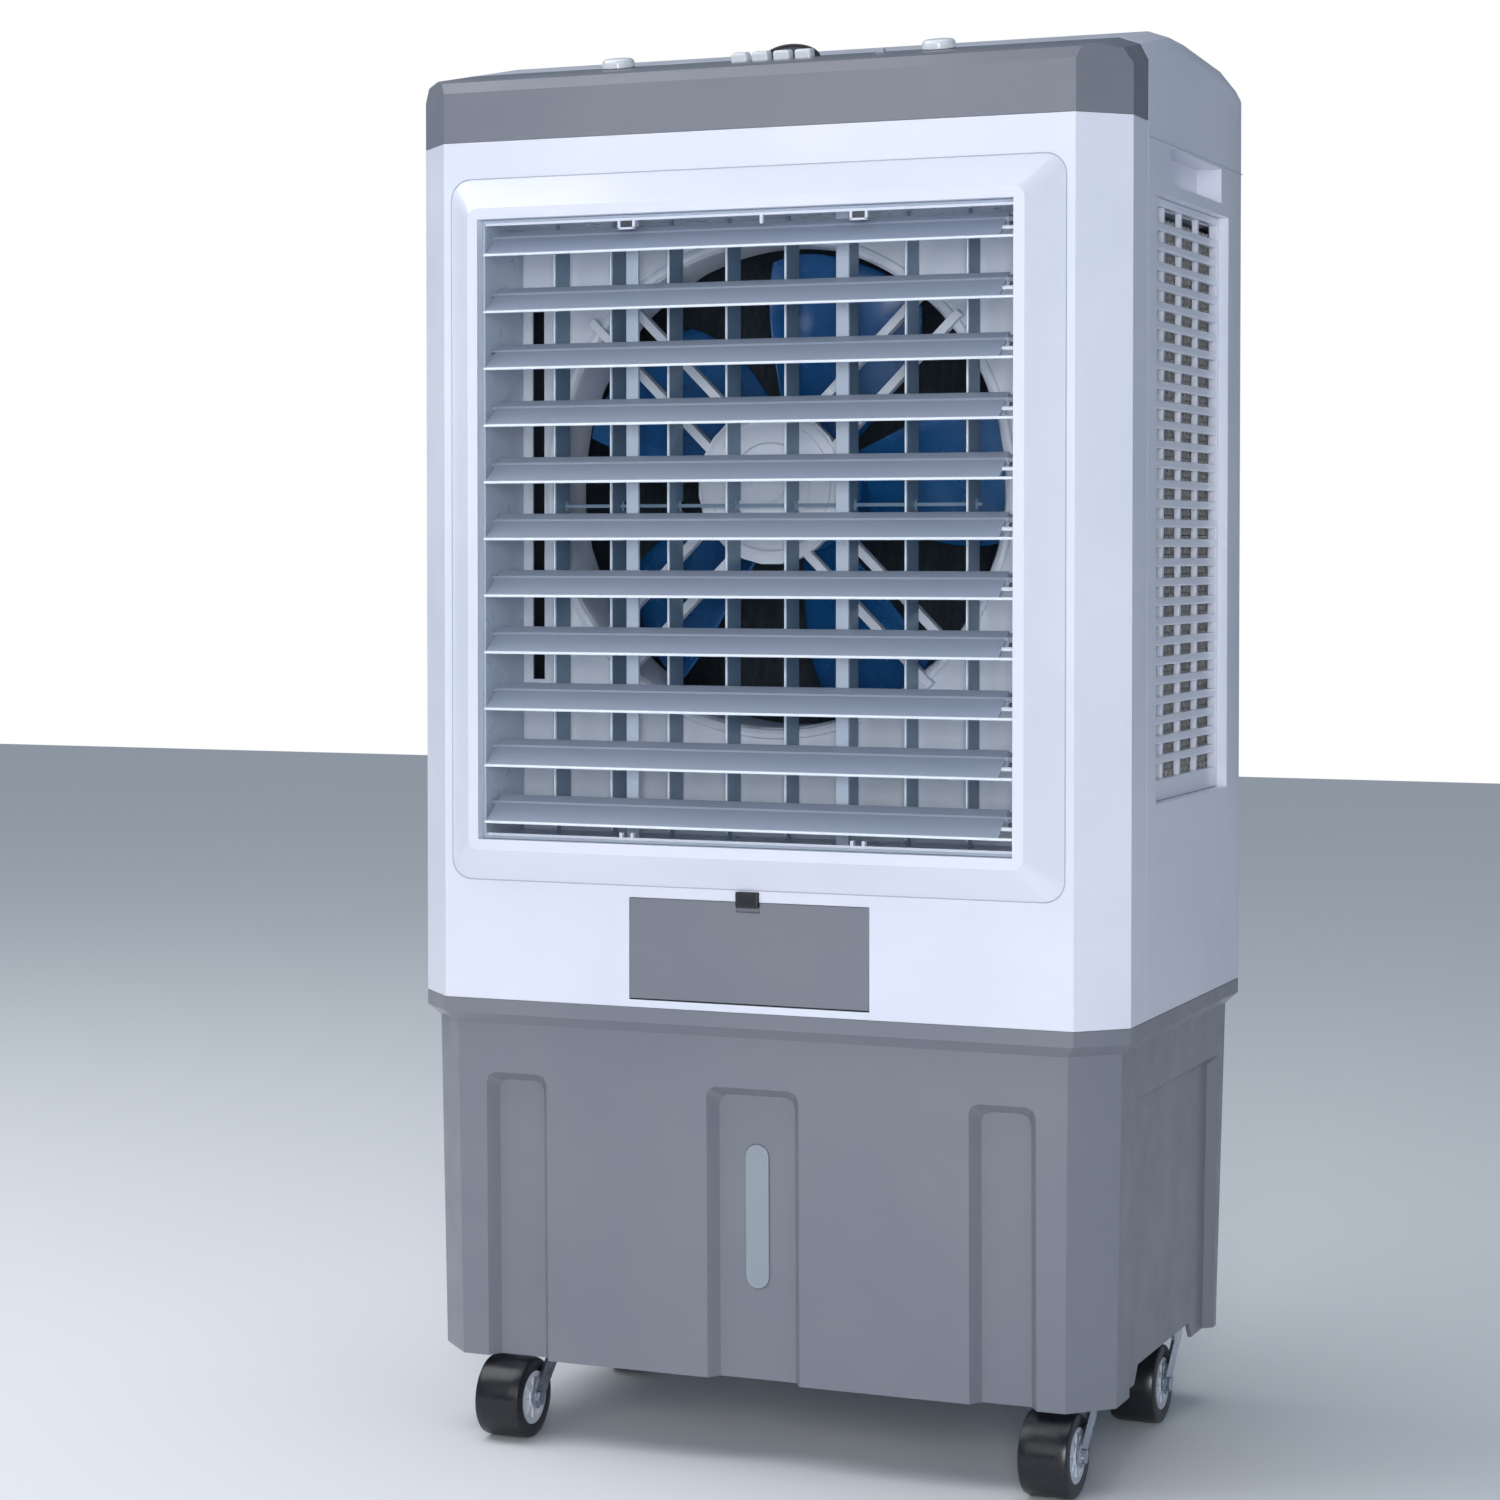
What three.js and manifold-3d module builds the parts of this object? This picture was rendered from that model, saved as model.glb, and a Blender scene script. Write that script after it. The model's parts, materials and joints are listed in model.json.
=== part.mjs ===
// Mobile evaporative air cooler: white two-shell body on a grey water tank with four swivel casters.
// Millimetres, +Z up, the front faces -Y. The origin is on the floor, under the middle of the body.
import * as THREE from "three";
import { mergeVertices } from "three/addons/utils/BufferGeometryUtils.js";
import Module from "manifold-3d";

// ---- Driving dimensions ----
const GAP = 0.3; // clearance left between pieces that touch
const WALL = 3; // moulded shell wall

// Body shells
const BODY_WIDTH = 690;
const BODY_DEPTH = 460; // front face to back face, without the bezel
const BEZEL_PROUD = 26; // how far the bezel's lip stands in front of the body
const BODY_BASE = 415; // height of the joint between tank and body
const COVER_BASE = 1208; // height of the joint between front panel and top cover
const FRONT_TOP = 1254; // where the front face starts to round into the deck
const DECK_FRONT = 1268; // deck height at its front edge
const DECK_CREST = 1301; // highest line of the deck
const DECK_REAR = 1294;
const CREST_BACK = 180; // front face to the crest
const DECK_ROUND = 14; // round of the deck's front edge
const SHOULDER_DROP = 21; // fall from the deck to the top of a side wall
const SHOULDER_RUN = 27; // width of that rounded shoulder
const CORNER_CHAMFER = 40; // front vertical corners
const CORNER_ROUND = 45; // rear vertical corners
const SHELL_SPLIT = 87; // front face to the joint between front and rear shells

// Air outlet
const OUTLET_WIDTH = 515;
const OUTLET_BOTTOM = 565.5;
const OUTLET_TOP = 1134;
const BEZEL_BAND = 39.5; // width of the sloping bezel round the outlet
const BEZEL_LIP = 10; // flat lip at the outlet's edge
const BEZEL_CORNER = 19;
const FRAME_WALL = 2.5;
const FRAME_FRONT = 11; // how far the louvre frame's edge stays behind the lip

// Louvres and vanes
const LOUVRES = 11;
const LOUVRE_REACH = 28; // pivot to the front edge
const LOUVRE_TAIL = 11; // pivot to the rear edge
const LOUVRE_THICK = 2.6;
const LOUVRE_REST = 37; // degrees, front edge down
const LOUVRE_TOP_DROP = 16; // outlet's top to the first pivot
const LOUVRE_BOTTOM_RISE = 32.5; // outlet's bottom to the last pivot
const LOUVRE_BEHIND_LIP = 26; // lip to the pivot line
const PIVOT_R = 2;
const PIVOT_PLAY = 0.5;
const ARM_R = 11; // pivot to the link pin
const ARM_REST = 12.5; // degrees above the horizontal
const LINK_PIN_R = 1.5;
const LINK_WIDTH = 5;
const LINK_THICK = 2.5;
const VANES = 8;
const VANE_MARGIN = 56.6; // outlet's edge to the first vane
const VANE_CHORD = 32;
const VANE_THICK = 2;
const VANE_PIVOT = 8.5; // front edge to the pivot
const VANE_END_GAP = 9; // vane's end to the frame
const VANE_PIN_BACK = 27; // front edge to the link pin
const VANE_NOTCH = 9; // height of the notch round the link pin
const BAR_WIDTH = 12; // upright support bars
const BAR_THICK = 4;
const BAR_OFFSETS = [-119, 86];

// Fan
const FAN_RISE = 40.25; // outlet's centre to the fan's axis
const ORIFICE_R = 222;
const RING_DEPTH = 66;
const TIP_GAP = 8;
const HUB_R = 62;
const HUB_DEPTH = 34;
const BLADES = 5;
const BLADE_CHORD = 118;
const BLADE_THICK = 3.5;
const BLADE_PITCH = 28; // degrees
const MOTOR_R = 48;
const MOTOR_DEPTH = 52;
const SHAFT_R = 6;
const GUARD_DISC_R = 72;
const ARM_SPREAD = 19; // half the distance between the two arms of a pair
const ARM_WIDTH = 8;
const ARM_DEPTH = 9;
const ARM_ROOT = 8; // motor's side to the start of an arm
const SHROUD_MARGIN = 26; // shroud plate past the outlet
const SHROUD_SLOT = 12;

// Air inlets and pads
const INLET_BASE = 605;
const INLET_TOP = 1148;
const GRILLE_SLOTS = 14;
const GRILLE_THICK = 9;
const GRILLE_OUT = 9; // grille's face behind the wall's face
const SIDE_INLET_FRONT = 31; // shell joint to the side grille
const SIDE_INLET_REAR = 93; // side grille to the back face
const REAR_INLET_INSET = 65; // side wall to the rear grille
const PAD_THICK = 38;
const TRAY_HEIGHT = 12;
const SCOOP_DEPTH = 24;
const SCOOP_BASE = 1160;
const SCOOP_TOP = 1192;

// Fill door
const DOOR_WIDTH = 233;
const DOOR_BOTTOM = 423;
const DOOR_TOP = 515;
const DOOR_THICK = 4;
const LATCH_WIDTH = 22;
const LATCH_RISE = 9;

// Controls
const CONTROLS_BACK = 60; // front face to the line of controls
const KNOB_R = 15;
const KNOB_HEIGHT = 9.5;
const KNOB_X = [-154, 160];
const BUTTON_X = [-31, -10.5, 10.5, 31.5];
const BUTTON_WIDTH = 16;
const BUTTON_LENGTH = 13;
const BUTTON_RISE = 8;
const BUTTON_STEM = 9;

// Tank
const SKIRT_CLEAR = 3; // wheel's top to the skirt
const FORK_ROOM = 26; // skirt's edge to the underside of the tank's floor
const TANK_WALL = 4;
const RIM_BASE = 401;
const RIM_STEP = 391;
const RIM_INSET = 10; // tank wall inside the rim
const TAPER_SIDE = 5; // how much each side leans in, rim to skirt
const TAPER_FRONT = 4;
const TAPER_REAR = 13;
const CHANNEL_TOP = 345;
const CHANNEL_DEPTH = 12;
const CHANNEL_SLOPE = 8; // width of a channel's sloping side
const MID_CHANNEL = 90;
const SIDE_CHANNEL = 62;
const SIDE_CHANNEL_X = 237;
const SIDE_PANEL_DEPTH = 9;
const ARCH_RISE = 16; // side arches above the skirt's edge
const WINDOW_WIDTH = 23;
const WINDOW_BASE = 161;
const WINDOW_TOP = 293;
const DRAIN_R = 11;

// Casters
const WHEEL_R = 37.5;
const WHEEL_WIDTH = 46;
const WHEEL_SIDES = 24;
const TRAIL = 38;
const PLATE_THICK = 3;
const PLATE_WIDTH = 60;
const PLATE_LENGTH = 60;
const RACE_R = 25;
const FORK_PLATE = 3;
const AXLE_R = 4;
const CASTER_LEFT = 78; // tank's lower left edge to the left swivel line
const CASTER_RIGHT = 52;
const CASTER_FRONT = 57; // tank's lower front edge to the front swivel line
const CASTER_REAR = 90;

// ---- Places that follow from them ----
const HALF_WIDTH = BODY_WIDTH / 2;
const LIP_Y = -(BODY_DEPTH + BEZEL_PROUD) / 2;
const FRONT_Y = LIP_Y + BEZEL_PROUD;
const REAR_Y = FRONT_Y + BODY_DEPTH;
const SPLIT_Y = FRONT_Y + SHELL_SPLIT;
const OUTLET_MID = (OUTLET_TOP + OUTLET_BOTTOM) / 2;
const OUTLET_HALF = OUTLET_WIDTH / 2;
const OUTLET_HALF_HEIGHT = (OUTLET_TOP - OUTLET_BOTTOM) / 2;
const FRAME_HALF = OUTLET_HALF - GAP;
const FRAME_HALF_HEIGHT = OUTLET_HALF_HEIGHT - GAP;
const FRAME_IN = FRAME_HALF - FRAME_WALL;
const FRAME_IN_HEIGHT = FRAME_HALF_HEIGHT - FRAME_WALL;
const VANE_PITCH = (OUTLET_WIDTH - 2 * VANE_MARGIN) / (VANES - 1);
const LOUVRE_Y = LIP_Y + LOUVRE_BEHIND_LIP;
const LOUVRE_TOP_Z = OUTLET_TOP - LOUVRE_TOP_DROP;
const LOUVRE_PITCH = (LOUVRE_TOP_Z - OUTLET_BOTTOM - LOUVRE_BOTTOM_RISE) / (LOUVRES - 1);
const BAR_Y = LOUVRE_Y + LOUVRE_TAIL + LOUVRE_THICK / 2 + 0.2;
const VANE_FRONT_Y = BAR_Y + BAR_THICK + 2.5;
const VANE_Y = VANE_FRONT_Y + VANE_PIVOT;
const GUARD_Y = VANE_FRONT_Y + VANE_CHORD + 4;
const SHROUD_Y = GUARD_Y + ARM_DEPTH + GAP;
const FAN_Z = OUTLET_MID + FAN_RISE;
const MOTOR_Y = SHROUD_Y + GAP;
const HUB_Y = MOTOR_Y + MOTOR_DEPTH + 3;

const SKIRT_BASE = 2 * WHEEL_R + SKIRT_CLEAR;
const TANK_FLOOR = SKIRT_BASE + FORK_ROOM;
const TANK_HALF = HALF_WIDTH - RIM_INSET;
const FOOT_HALF = TANK_HALF - TAPER_SIDE;
const TANK_FRONT = FRONT_Y + RIM_INSET;
const FOOT_FRONT = TANK_FRONT + TAPER_FRONT;
const FOOT_REAR = REAR_Y - RIM_INSET - TAPER_REAR;
const TANK_HEIGHT = RIM_STEP - SKIRT_BASE;

// ---- Small tools ----
const wasm = await Module();
wasm.setup();

// Turns a closed three.js geometry into a solid that can be cut and joined.
function solid(geometry) {
  const loose = geometry.index ? geometry.toNonIndexed() : geometry;
  const bare = new THREE.BufferGeometry();
  bare.setAttribute("position", loose.getAttribute("position"));
  const merged = mergeVertices(bare, 1e-4);
  return new wasm.Manifold(
    new wasm.Mesh({
      numProp: 3,
      vertProperties: merged.attributes.position.array,
      triVerts: new Uint32Array(merged.index.array),
    }),
  );
}

function join(first, ...others) {
  return others.reduce((whole, other) => whole.add(other), first);
}

function cut(first, ...others) {
  return others.reduce((whole, other) => whole.subtract(other), first);
}

// Box between two corners.
function block([x0, y0, z0], [x1, y1, z1]) {
  const box = new THREE.BoxGeometry(x1 - x0, y1 - y0, z1 - z0);
  return solid(box.translate((x0 + x1) / 2, (y0 + y1) / 2, (z0 + z1) / 2));
}

// Drawings in the XZ plane grow towards -Y, and drawings in the YZ plane grow towards +X.
const FACING_FRONT = new THREE.Matrix4().makeRotationX(Math.PI / 2);
const FACING_RIGHT = new THREE.Matrix4().set(0, 0, 1, 0, 1, 0, 0, 0, 0, 1, 0, 0, 0, 0, 0, 1);
const UPRIGHT = new THREE.Matrix4();

// Outline of [u, v] points, counter-clockwise, extruded from one level to another.
function prism(points, from, to, facing = UPRIGHT) {
  const shape = new THREE.Shape(points.map(([u, v]) => new THREE.Vector2(u, v)));
  const body = new THREE.ExtrudeGeometry(shape, { depth: to - from, bevelEnabled: false });
  return solid(body.translate(0, 0, from).applyMatrix4(facing));
}

// Solid through convex outlines [level, points], each with the same number of points.
function loft(levels, facing = UPRIGHT) {
  const positions = [];
  const put = (...corners) => corners.forEach((corner) => positions.push(...corner));
  const rings = levels.map(([level, points]) => points.map(([u, v]) => [u, v, level]));
  const count = rings[0].length;
  for (let level = 0; level + 1 < rings.length; level++) {
    for (let i = 0; i < count; i++) {
      const [a, b] = [rings[level][i], rings[level][(i + 1) % count]];
      const [c, d] = [rings[level + 1][i], rings[level + 1][(i + 1) % count]];
      put(a, b, d, a, d, c);
    }
  }
  const [first, last] = [rings[0], rings[rings.length - 1]];
  for (let i = 1; i + 1 < count; i++) {
    put(first[0], first[i + 1], first[i]);
    put(last[0], last[i], last[i + 1]);
  }
  const body = new THREE.BufferGeometry();
  body.setAttribute("position", new THREE.Float32BufferAttribute(positions, 3));
  return solid(body.applyMatrix4(facing));
}

// Round bar along an axis ("x", "y" or "z") through the point at, which gives the other two places.
function rod(axis, radius, from, to, [x, y, z], sides = 8) {
  const bar = new THREE.CylinderGeometry(radius, radius, to - from, sides);
  bar.rotateY(Math.PI / sides);
  const middle = (from + to) / 2;
  if (axis === "x") bar.rotateZ(-Math.PI / 2).translate(middle, y, z);
  if (axis === "y") bar.translate(x, middle, z);
  if (axis === "z") bar.rotateX(Math.PI / 2).translate(x, y, middle);
  return solid(bar);
}

// Moves every edge of a convex outline inwards.
function inset(points, distance) {
  const count = points.length;
  const side = ([ax, ay], [bx, by]) => {
    const length = Math.hypot(bx - ax, by - ay);
    return [-(by - ay) / length, (bx - ax) / length];
  };
  return points.map((point, i) => {
    const before = side(points[(i + count - 1) % count], point);
    const after = side(point, points[(i + 1) % count]);
    const reach = distance / (1 + before[0] * after[0] + before[1] * after[1]);
    return [point[0] + (before[0] + after[0]) * reach, point[1] + (before[1] + after[1]) * reach];
  });
}

// Rectangle with rounded corners about a centre.
function roundedRect(halfU, halfV, radius, [u0, v0], steps = 3) {
  const corners = [[1, -1, -90], [1, 1, 0], [-1, 1, 90], [-1, -1, 180]];
  return corners.flatMap(([signU, signV, start]) =>
    Array.from({ length: steps + 1 }, (_, i) => {
      const turn = THREE.MathUtils.degToRad(start + (90 * i) / steps);
      return [
        u0 + signU * (halfU - radius) + radius * Math.cos(turn),
        v0 + signV * (halfV - radius) + radius * Math.sin(turn),
      ];
    }),
  );
}

// Plan outline with chamfered front corners and rounded rear ones.
function planOutline(half, front, rear, chamfer, radius) {
  const arc = (x, start) =>
    [0, 30, 60, 90].map((step) => {
      const turn = THREE.MathUtils.degToRad(start + step);
      return [x + radius * Math.cos(turn), rear - radius + radius * Math.sin(turn)];
    });
  return [
    [-half + chamfer, front],
    [half - chamfer, front],
    [half, front + chamfer],
    ...arc(half - radius, 0),
    ...arc(-half + radius, 90),
    [-half, front + chamfer],
  ];
}

const model = new THREE.Group();

const COLOURS = {
  white: { color: 0xe4ebf8, roughness: 0.35 },
  grey: { color: 0x7c7f88, roughness: 0.42 },
  louvre: { color: 0x8d97a6, roughness: 0.4 },
  pale: { color: 0xd8e4ee, roughness: 0.3 },
  blue: { color: 0x1c5fa8, roughness: 0.35 },
  window: { color: 0x939ba5, roughness: 0.3 },
  black: { color: 0x1d1f23, roughness: 0.5 },
  tyre: { color: 0x23262c, roughness: 0.7 },
  zinc: { color: 0x9aa3b0, roughness: 0.35, metalness: 0.9 },
  steel: { color: 0x8b9097, roughness: 0.4, metalness: 0.8 },
  pad: { color: 0x8a6a44, roughness: 0.95 },
};

// Adds a solid to the model as a named mesh.
function add(name, body, finish) {
  const { vertProperties, triVerts } = body.getMesh();
  const geometry = new THREE.BufferGeometry();
  geometry.setAttribute("position", new THREE.BufferAttribute(new Float32Array(vertProperties), 3));
  geometry.setIndex(new THREE.BufferAttribute(new Uint32Array(triVerts), 1));
  const loose = geometry.toNonIndexed();
  loose.computeVertexNormals();
  const mesh = new THREE.Mesh(loose, new THREE.MeshStandardMaterial(COLOURS[finish]));
  mesh.name = name;
  model.add(mesh);
}

// ---- Body: one hollow form, divided into front panel, rear housing and top cover ----
function deckHeight(y) {
  const crest = FRONT_Y + CREST_BACK;
  if (y > crest) return DECK_CREST;
  const rise = (DECK_CREST - DECK_FRONT) / (CREST_BACK - DECK_ROUND);
  return DECK_FRONT + rise * (y - FRONT_Y - DECK_ROUND);
}

const DECK_ANGLE = Math.atan((DECK_CREST - DECK_FRONT) / (CREST_BACK - DECK_ROUND));

// The body's full form, or its inner form when thinner than zero.
function bodyForm(thin, base) {
  const plan = inset(
    planOutline(HALF_WIDTH, FRONT_Y, REAR_Y, CORNER_CHAMFER, CORNER_ROUND), thin);
  const half = HALF_WIDTH - thin;
  const stations = [
    [FRONT_Y, FRONT_TOP],
    [FRONT_Y + DECK_ROUND * 0.3, FRONT_TOP + (DECK_FRONT - FRONT_TOP) * 0.72],
    [FRONT_Y + DECK_ROUND, DECK_FRONT],
    [FRONT_Y + CREST_BACK, DECK_CREST],
    [FRONT_Y + CREST_BACK + 50, DECK_CREST],
    [REAR_Y - 97, DECK_REAR],
    [REAR_Y - 38, DECK_REAR - 11],
    [REAR_Y - 14, DECK_REAR - 23],
    [REAR_Y, DECK_REAR - 46],
  ];
  const section = (top) => {
    const z = top - thin;
    return [
      [-half, -base],
      [half, -base],
      [half, SHOULDER_DROP - z],
      [half - SHOULDER_RUN * 0.27, SHOULDER_DROP * 0.33 - z],
      [half - SHOULDER_RUN, -z],
      [-half + SHOULDER_RUN, -z],
      [-half + SHOULDER_RUN * 0.27, SHOULDER_DROP * 0.33 - z],
      [-half, SHOULDER_DROP - z],
    ].map(([x, down]) => [x, -down]);
  };
  const roof = loft(stations.map(([y, top]) => [-y, section(top)]).reverse(), FACING_FRONT);
  return roof.intersect(prism(plan, base - 1, DECK_CREST + 1));
}

const WIDE = HALF_WIDTH + 10;
const shell = cut(bodyForm(0, BODY_BASE), bodyForm(WALL, BODY_BASE - 1));
const bodyTop = DECK_CREST + 10;

function frontPanel() {
  const doorMid = (DOOR_BOTTOM + DOOR_TOP) / 2;
  const top = COVER_BASE - GAP / 2;
  const wall = shell.intersect(
    block([-WIDE, FRONT_Y - 1, BODY_BASE - 1], [WIDE, SPLIT_Y - GAP / 2, top]));

  // Bezel: a hollow sloping frame that ends in a flat lip.
  const centre = [0, OUTLET_MID];
  const rect = (grow, radius) =>
    roundedRect(OUTLET_HALF + grow, OUTLET_HALF_HEIGHT + grow, radius, centre);
  const outer = loft([
    [-FRONT_Y - WALL, rect(BEZEL_BAND, BEZEL_CORNER)],
    [-FRONT_Y, rect(BEZEL_BAND, BEZEL_CORNER)],
    [-LIP_Y, rect(BEZEL_LIP, BEZEL_CORNER / 2)],
  ], FACING_FRONT);
  const hollow = loft([
    [-FRONT_Y - WALL - 1, rect(BEZEL_BAND - WALL, BEZEL_CORNER - WALL)],
    [-FRONT_Y, rect(BEZEL_BAND - WALL - 1, BEZEL_CORNER - WALL)],
    [-LIP_Y - WALL, rect(BEZEL_LIP - WALL / 2, BEZEL_CORNER / 2)],
  ], FACING_FRONT);
  const sleeve = prism(rect(WALL, 4), -FRONT_Y - 12, -LIP_Y - 1, FACING_FRONT);
  const mouth = block([-OUTLET_HALF, LIP_Y - 1, OUTLET_BOTTOM], [OUTLET_HALF, FRONT_Y + 20, OUTLET_TOP]);
  const gone = prism(rect(BEZEL_BAND - WALL, BEZEL_CORNER - WALL), -FRONT_Y - 10, -FRONT_Y + 1,
    FACING_FRONT);
  const bezel = join(cut(outer, hollow), sleeve);
  const panel = cut(join(cut(wall, gone), bezel), mouth);

  // Way in for water, with a notch above it for the latch.
  const half = DOOR_WIDTH / 2 + GAP;
  const way = block([-half, FRONT_Y - 1, DOOR_BOTTOM - 4 * GAP], [half, FRONT_Y + 9, DOOR_TOP + GAP]);
  const latchHalf = LATCH_WIDTH / 2 + GAP;
  const notch = block([-latchHalf, FRONT_Y - 1, doorMid],
    [latchHalf, FRONT_Y + 9, DOOR_TOP + LATCH_RISE + GAP]);
  return cut(panel, way, notch);
}

// Lined recess in a side wall, for carrying the body.
function scoop(side) {
  const [y0, y1] = [SPLIT_Y + SIDE_INLET_FRONT + 44, REAR_Y - SIDE_INLET_REAR - 27];
  const ends = (a, b) => (side > 0 ? [a, b] : [-b, -a]);
  const [lining0, lining1] = ends(HALF_WIDTH - SCOOP_DEPTH - WALL, HALF_WIDTH - WALL / 2);
  const [hand0, hand1] = ends(HALF_WIDTH - SCOOP_DEPTH, HALF_WIDTH + 1);
  const lining = block([lining0, y0 - WALL, SCOOP_BASE - WALL], [lining1, y1 + WALL, SCOOP_TOP + WALL]);
  const hand = block([hand0, y0, SCOOP_BASE], [hand1, y1, SCOOP_TOP]);
  return { lining, hand };
}

const GLAND = { x: HALF_WIDTH - 90, z: BODY_BASE + 45, r: 8, half: 26, depth: 16 };

function rearHousing() {
  const back = shell.intersect(
    block([-WIDE, SPLIT_Y + GAP / 2, BODY_BASE - 1], [WIDE, REAR_Y + 1, bodyTop]));
  const scoops = [scoop(1), scoop(-1)];
  const inlet = GAP;
  const sides = block([-WIDE, SPLIT_Y + SIDE_INLET_FRONT - inlet, INLET_BASE - inlet],
    [WIDE, REAR_Y - SIDE_INLET_REAR + inlet, INLET_TOP + inlet]);
  const rearHalf = HALF_WIDTH - REAR_INLET_INSET + inlet;
  const rear = block([-rearHalf, REAR_Y - 30, INLET_BASE - inlet], [rearHalf, REAR_Y + 1, INLET_TOP + inlet]);
  const lip = GRILLE_OUT + GRILLE_THICK;
  const sideLining = [-1, 1].map((side) => {
    const edges = [side * (HALF_WIDTH - lip), side * (HALF_WIDTH - WALL / 2)].sort((a, b) => a - b);
    return block([edges[0], SPLIT_Y + SIDE_INLET_FRONT - WALL, INLET_BASE - WALL],
      [edges[1], REAR_Y - SIDE_INLET_REAR + WALL, INLET_TOP + WALL]);
  });
  const rearLining = block([-rearHalf - WALL, REAR_Y - lip, INLET_BASE - WALL],
    [rearHalf + WALL, REAR_Y - WALL / 2, INLET_TOP + WALL]);
  const { x, z, r, half, depth } = GLAND;
  const glandBox = block([x - half - WALL, REAR_Y - depth - WALL, z - half - WALL],
    [x + half + WALL, REAR_Y - WALL / 2, z + half + WALL]);
  const glandRoom = block([x - half, REAR_Y - depth, z - half], [x + half, REAR_Y + 1, z + half]);
  const glandHole = rod("y", r + GAP, REAR_Y - depth - WALL - 1, REAR_Y, [x, 0, z], 12);
  const walled = cut(join(back, ...sideLining, rearLining), sides, rear);
  const lined = join(walled, scoops[0].lining, scoops[1].lining, glandBox);
  return cut(lined, scoops[0].hand, scoops[1].hand, glandRoom, glandHole);
}

// Turns something drawn flat on the deck, at height zero, to lie on the sloping deck.
function onDeck(body, x) {
  const y = FRONT_Y + CONTROLS_BACK;
  return body.rotate([THREE.MathUtils.radToDeg(DECK_ANGLE), 0, 0]).translate([x, y, deckHeight(y)]);
}

function topCover() {
  const cover = shell.intersect(
    block([-WIDE, FRONT_Y - 1, COVER_BASE + GAP / 2], [WIDE, SPLIT_Y - GAP / 2, bodyTop]));
  const shafts = KNOB_X.map((x) => onDeck(rod("z", 3 + GAP, -20, 20, [0, 0, 0]), x));
  const halfWide = BUTTON_WIDTH / 2 + GAP;
  const halfLong = BUTTON_LENGTH / 2 + GAP;
  const holes = BUTTON_X.map((x) =>
    onDeck(block([-halfWide, -halfLong, -20], [halfWide, halfLong, 20]), x));
  return cut(cover, ...shafts, ...holes);
}

add("front_panel", frontPanel(), "white");
add("rear_housing", rearHousing(), "white");
add("top_cover", topCover(), "grey");

KNOB_X.forEach((x, i) => {
  const cap = rod("z", KNOB_R, GAP, KNOB_HEIGHT, [0, 0, 0], 16);
  const shaft = rod("z", 3, -WALL - 12, 1, [0, 0, 0]);
  add(`knob_${i + 1}`, onDeck(join(cap, shaft), x), "pale");
});

BUTTON_X.forEach((x, i) => {
  const half = [BUTTON_WIDTH / 2, BUTTON_LENGTH / 2];
  const key = block([-half[0], -half[1], -BUTTON_STEM], [half[0], half[1], BUTTON_RISE]);
  add(`button_${i + 1}`, onDeck(key, x), "pale");
});

// ---- Fill door and its latch ----
const doorBody = block([-DOOR_WIDTH / 2, FRONT_Y, DOOR_BOTTOM],
  [DOOR_WIDTH / 2, FRONT_Y + DOOR_THICK, DOOR_TOP]);
const LATCH_BASE = DOOR_TOP - 5;
const latchPocket = block([-LATCH_WIDTH / 2 - GAP, FRONT_Y - 1, LATCH_BASE - 4],
  [LATCH_WIDTH / 2 + GAP, FRONT_Y + DOOR_THICK - 1.5, DOOR_TOP + 1]);
add("fill_door", cut(doorBody, latchPocket), "grey");
add("door_latch", block([-LATCH_WIDTH / 2, FRONT_Y - 3, LATCH_BASE],
  [LATCH_WIDTH / 2, FRONT_Y + DOOR_THICK - 1.5 - GAP, DOOR_TOP + LATCH_RISE]), "black");

// ---- Louvre frame, louvres and vanes ----
const louvreZ = (i) => LOUVRE_TOP_Z - LOUVRE_PITCH * i;
const vaneX = (i) => (i - (VANES - 1) / 2) * VANE_PITCH;

function louvreFrame() {
  const [front, back] = [LIP_Y + FRAME_FRONT, SHROUD_Y - GAP];
  const rim = cut(
    block([-FRAME_HALF, front, OUTLET_MID - FRAME_HALF_HEIGHT],
      [FRAME_HALF, back, OUTLET_MID + FRAME_HALF_HEIGHT]),
    block([-FRAME_IN, front - 1, OUTLET_MID - FRAME_IN_HEIGHT],
      [FRAME_IN, back + 1, OUTLET_MID + FRAME_IN_HEIGHT]),
  );
  const bars = BAR_OFFSETS.map((x) =>
    block([x - BAR_WIDTH / 2, BAR_Y, OUTLET_MID - FRAME_IN_HEIGHT - 1],
      [x + BAR_WIDTH / 2, BAR_Y + BAR_THICK, OUTLET_MID + FRAME_IN_HEIGHT + 1]));
  const holes = [];
  for (let i = 0; i < LOUVRES; i++) {
    const at = [0, LOUVRE_Y, louvreZ(i)];
    for (const x of [-FRAME_HALF, FRAME_IN]) {
      holes.push(rod("x", PIVOT_R + PIVOT_PLAY, x - 1, x + FRAME_WALL + 1, at, 6));
    }
  }
  for (let i = 0; i < VANES; i++) {
    for (const z of [-FRAME_HALF_HEIGHT, FRAME_IN_HEIGHT]) {
      const low = OUTLET_MID + z;
      holes.push(rod("z", PIVOT_R + PIVOT_PLAY, low - 1, low + FRAME_WALL + 1,
        [vaneX(i), VANE_Y, 0], 6));
    }
  }
  return cut(join(rim, ...bars), ...holes);
}

const ARM_X = FRAME_IN - 11; // where a louvre's blade ends and its arm starts
const LINK_X = ARM_X + LINK_THICK + 0.5;

function linkPin(z) {
  const turn = THREE.MathUtils.degToRad(ARM_REST);
  return [0, LOUVRE_Y + ARM_R * Math.cos(turn), z + ARM_R * Math.sin(turn)];
}

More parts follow.
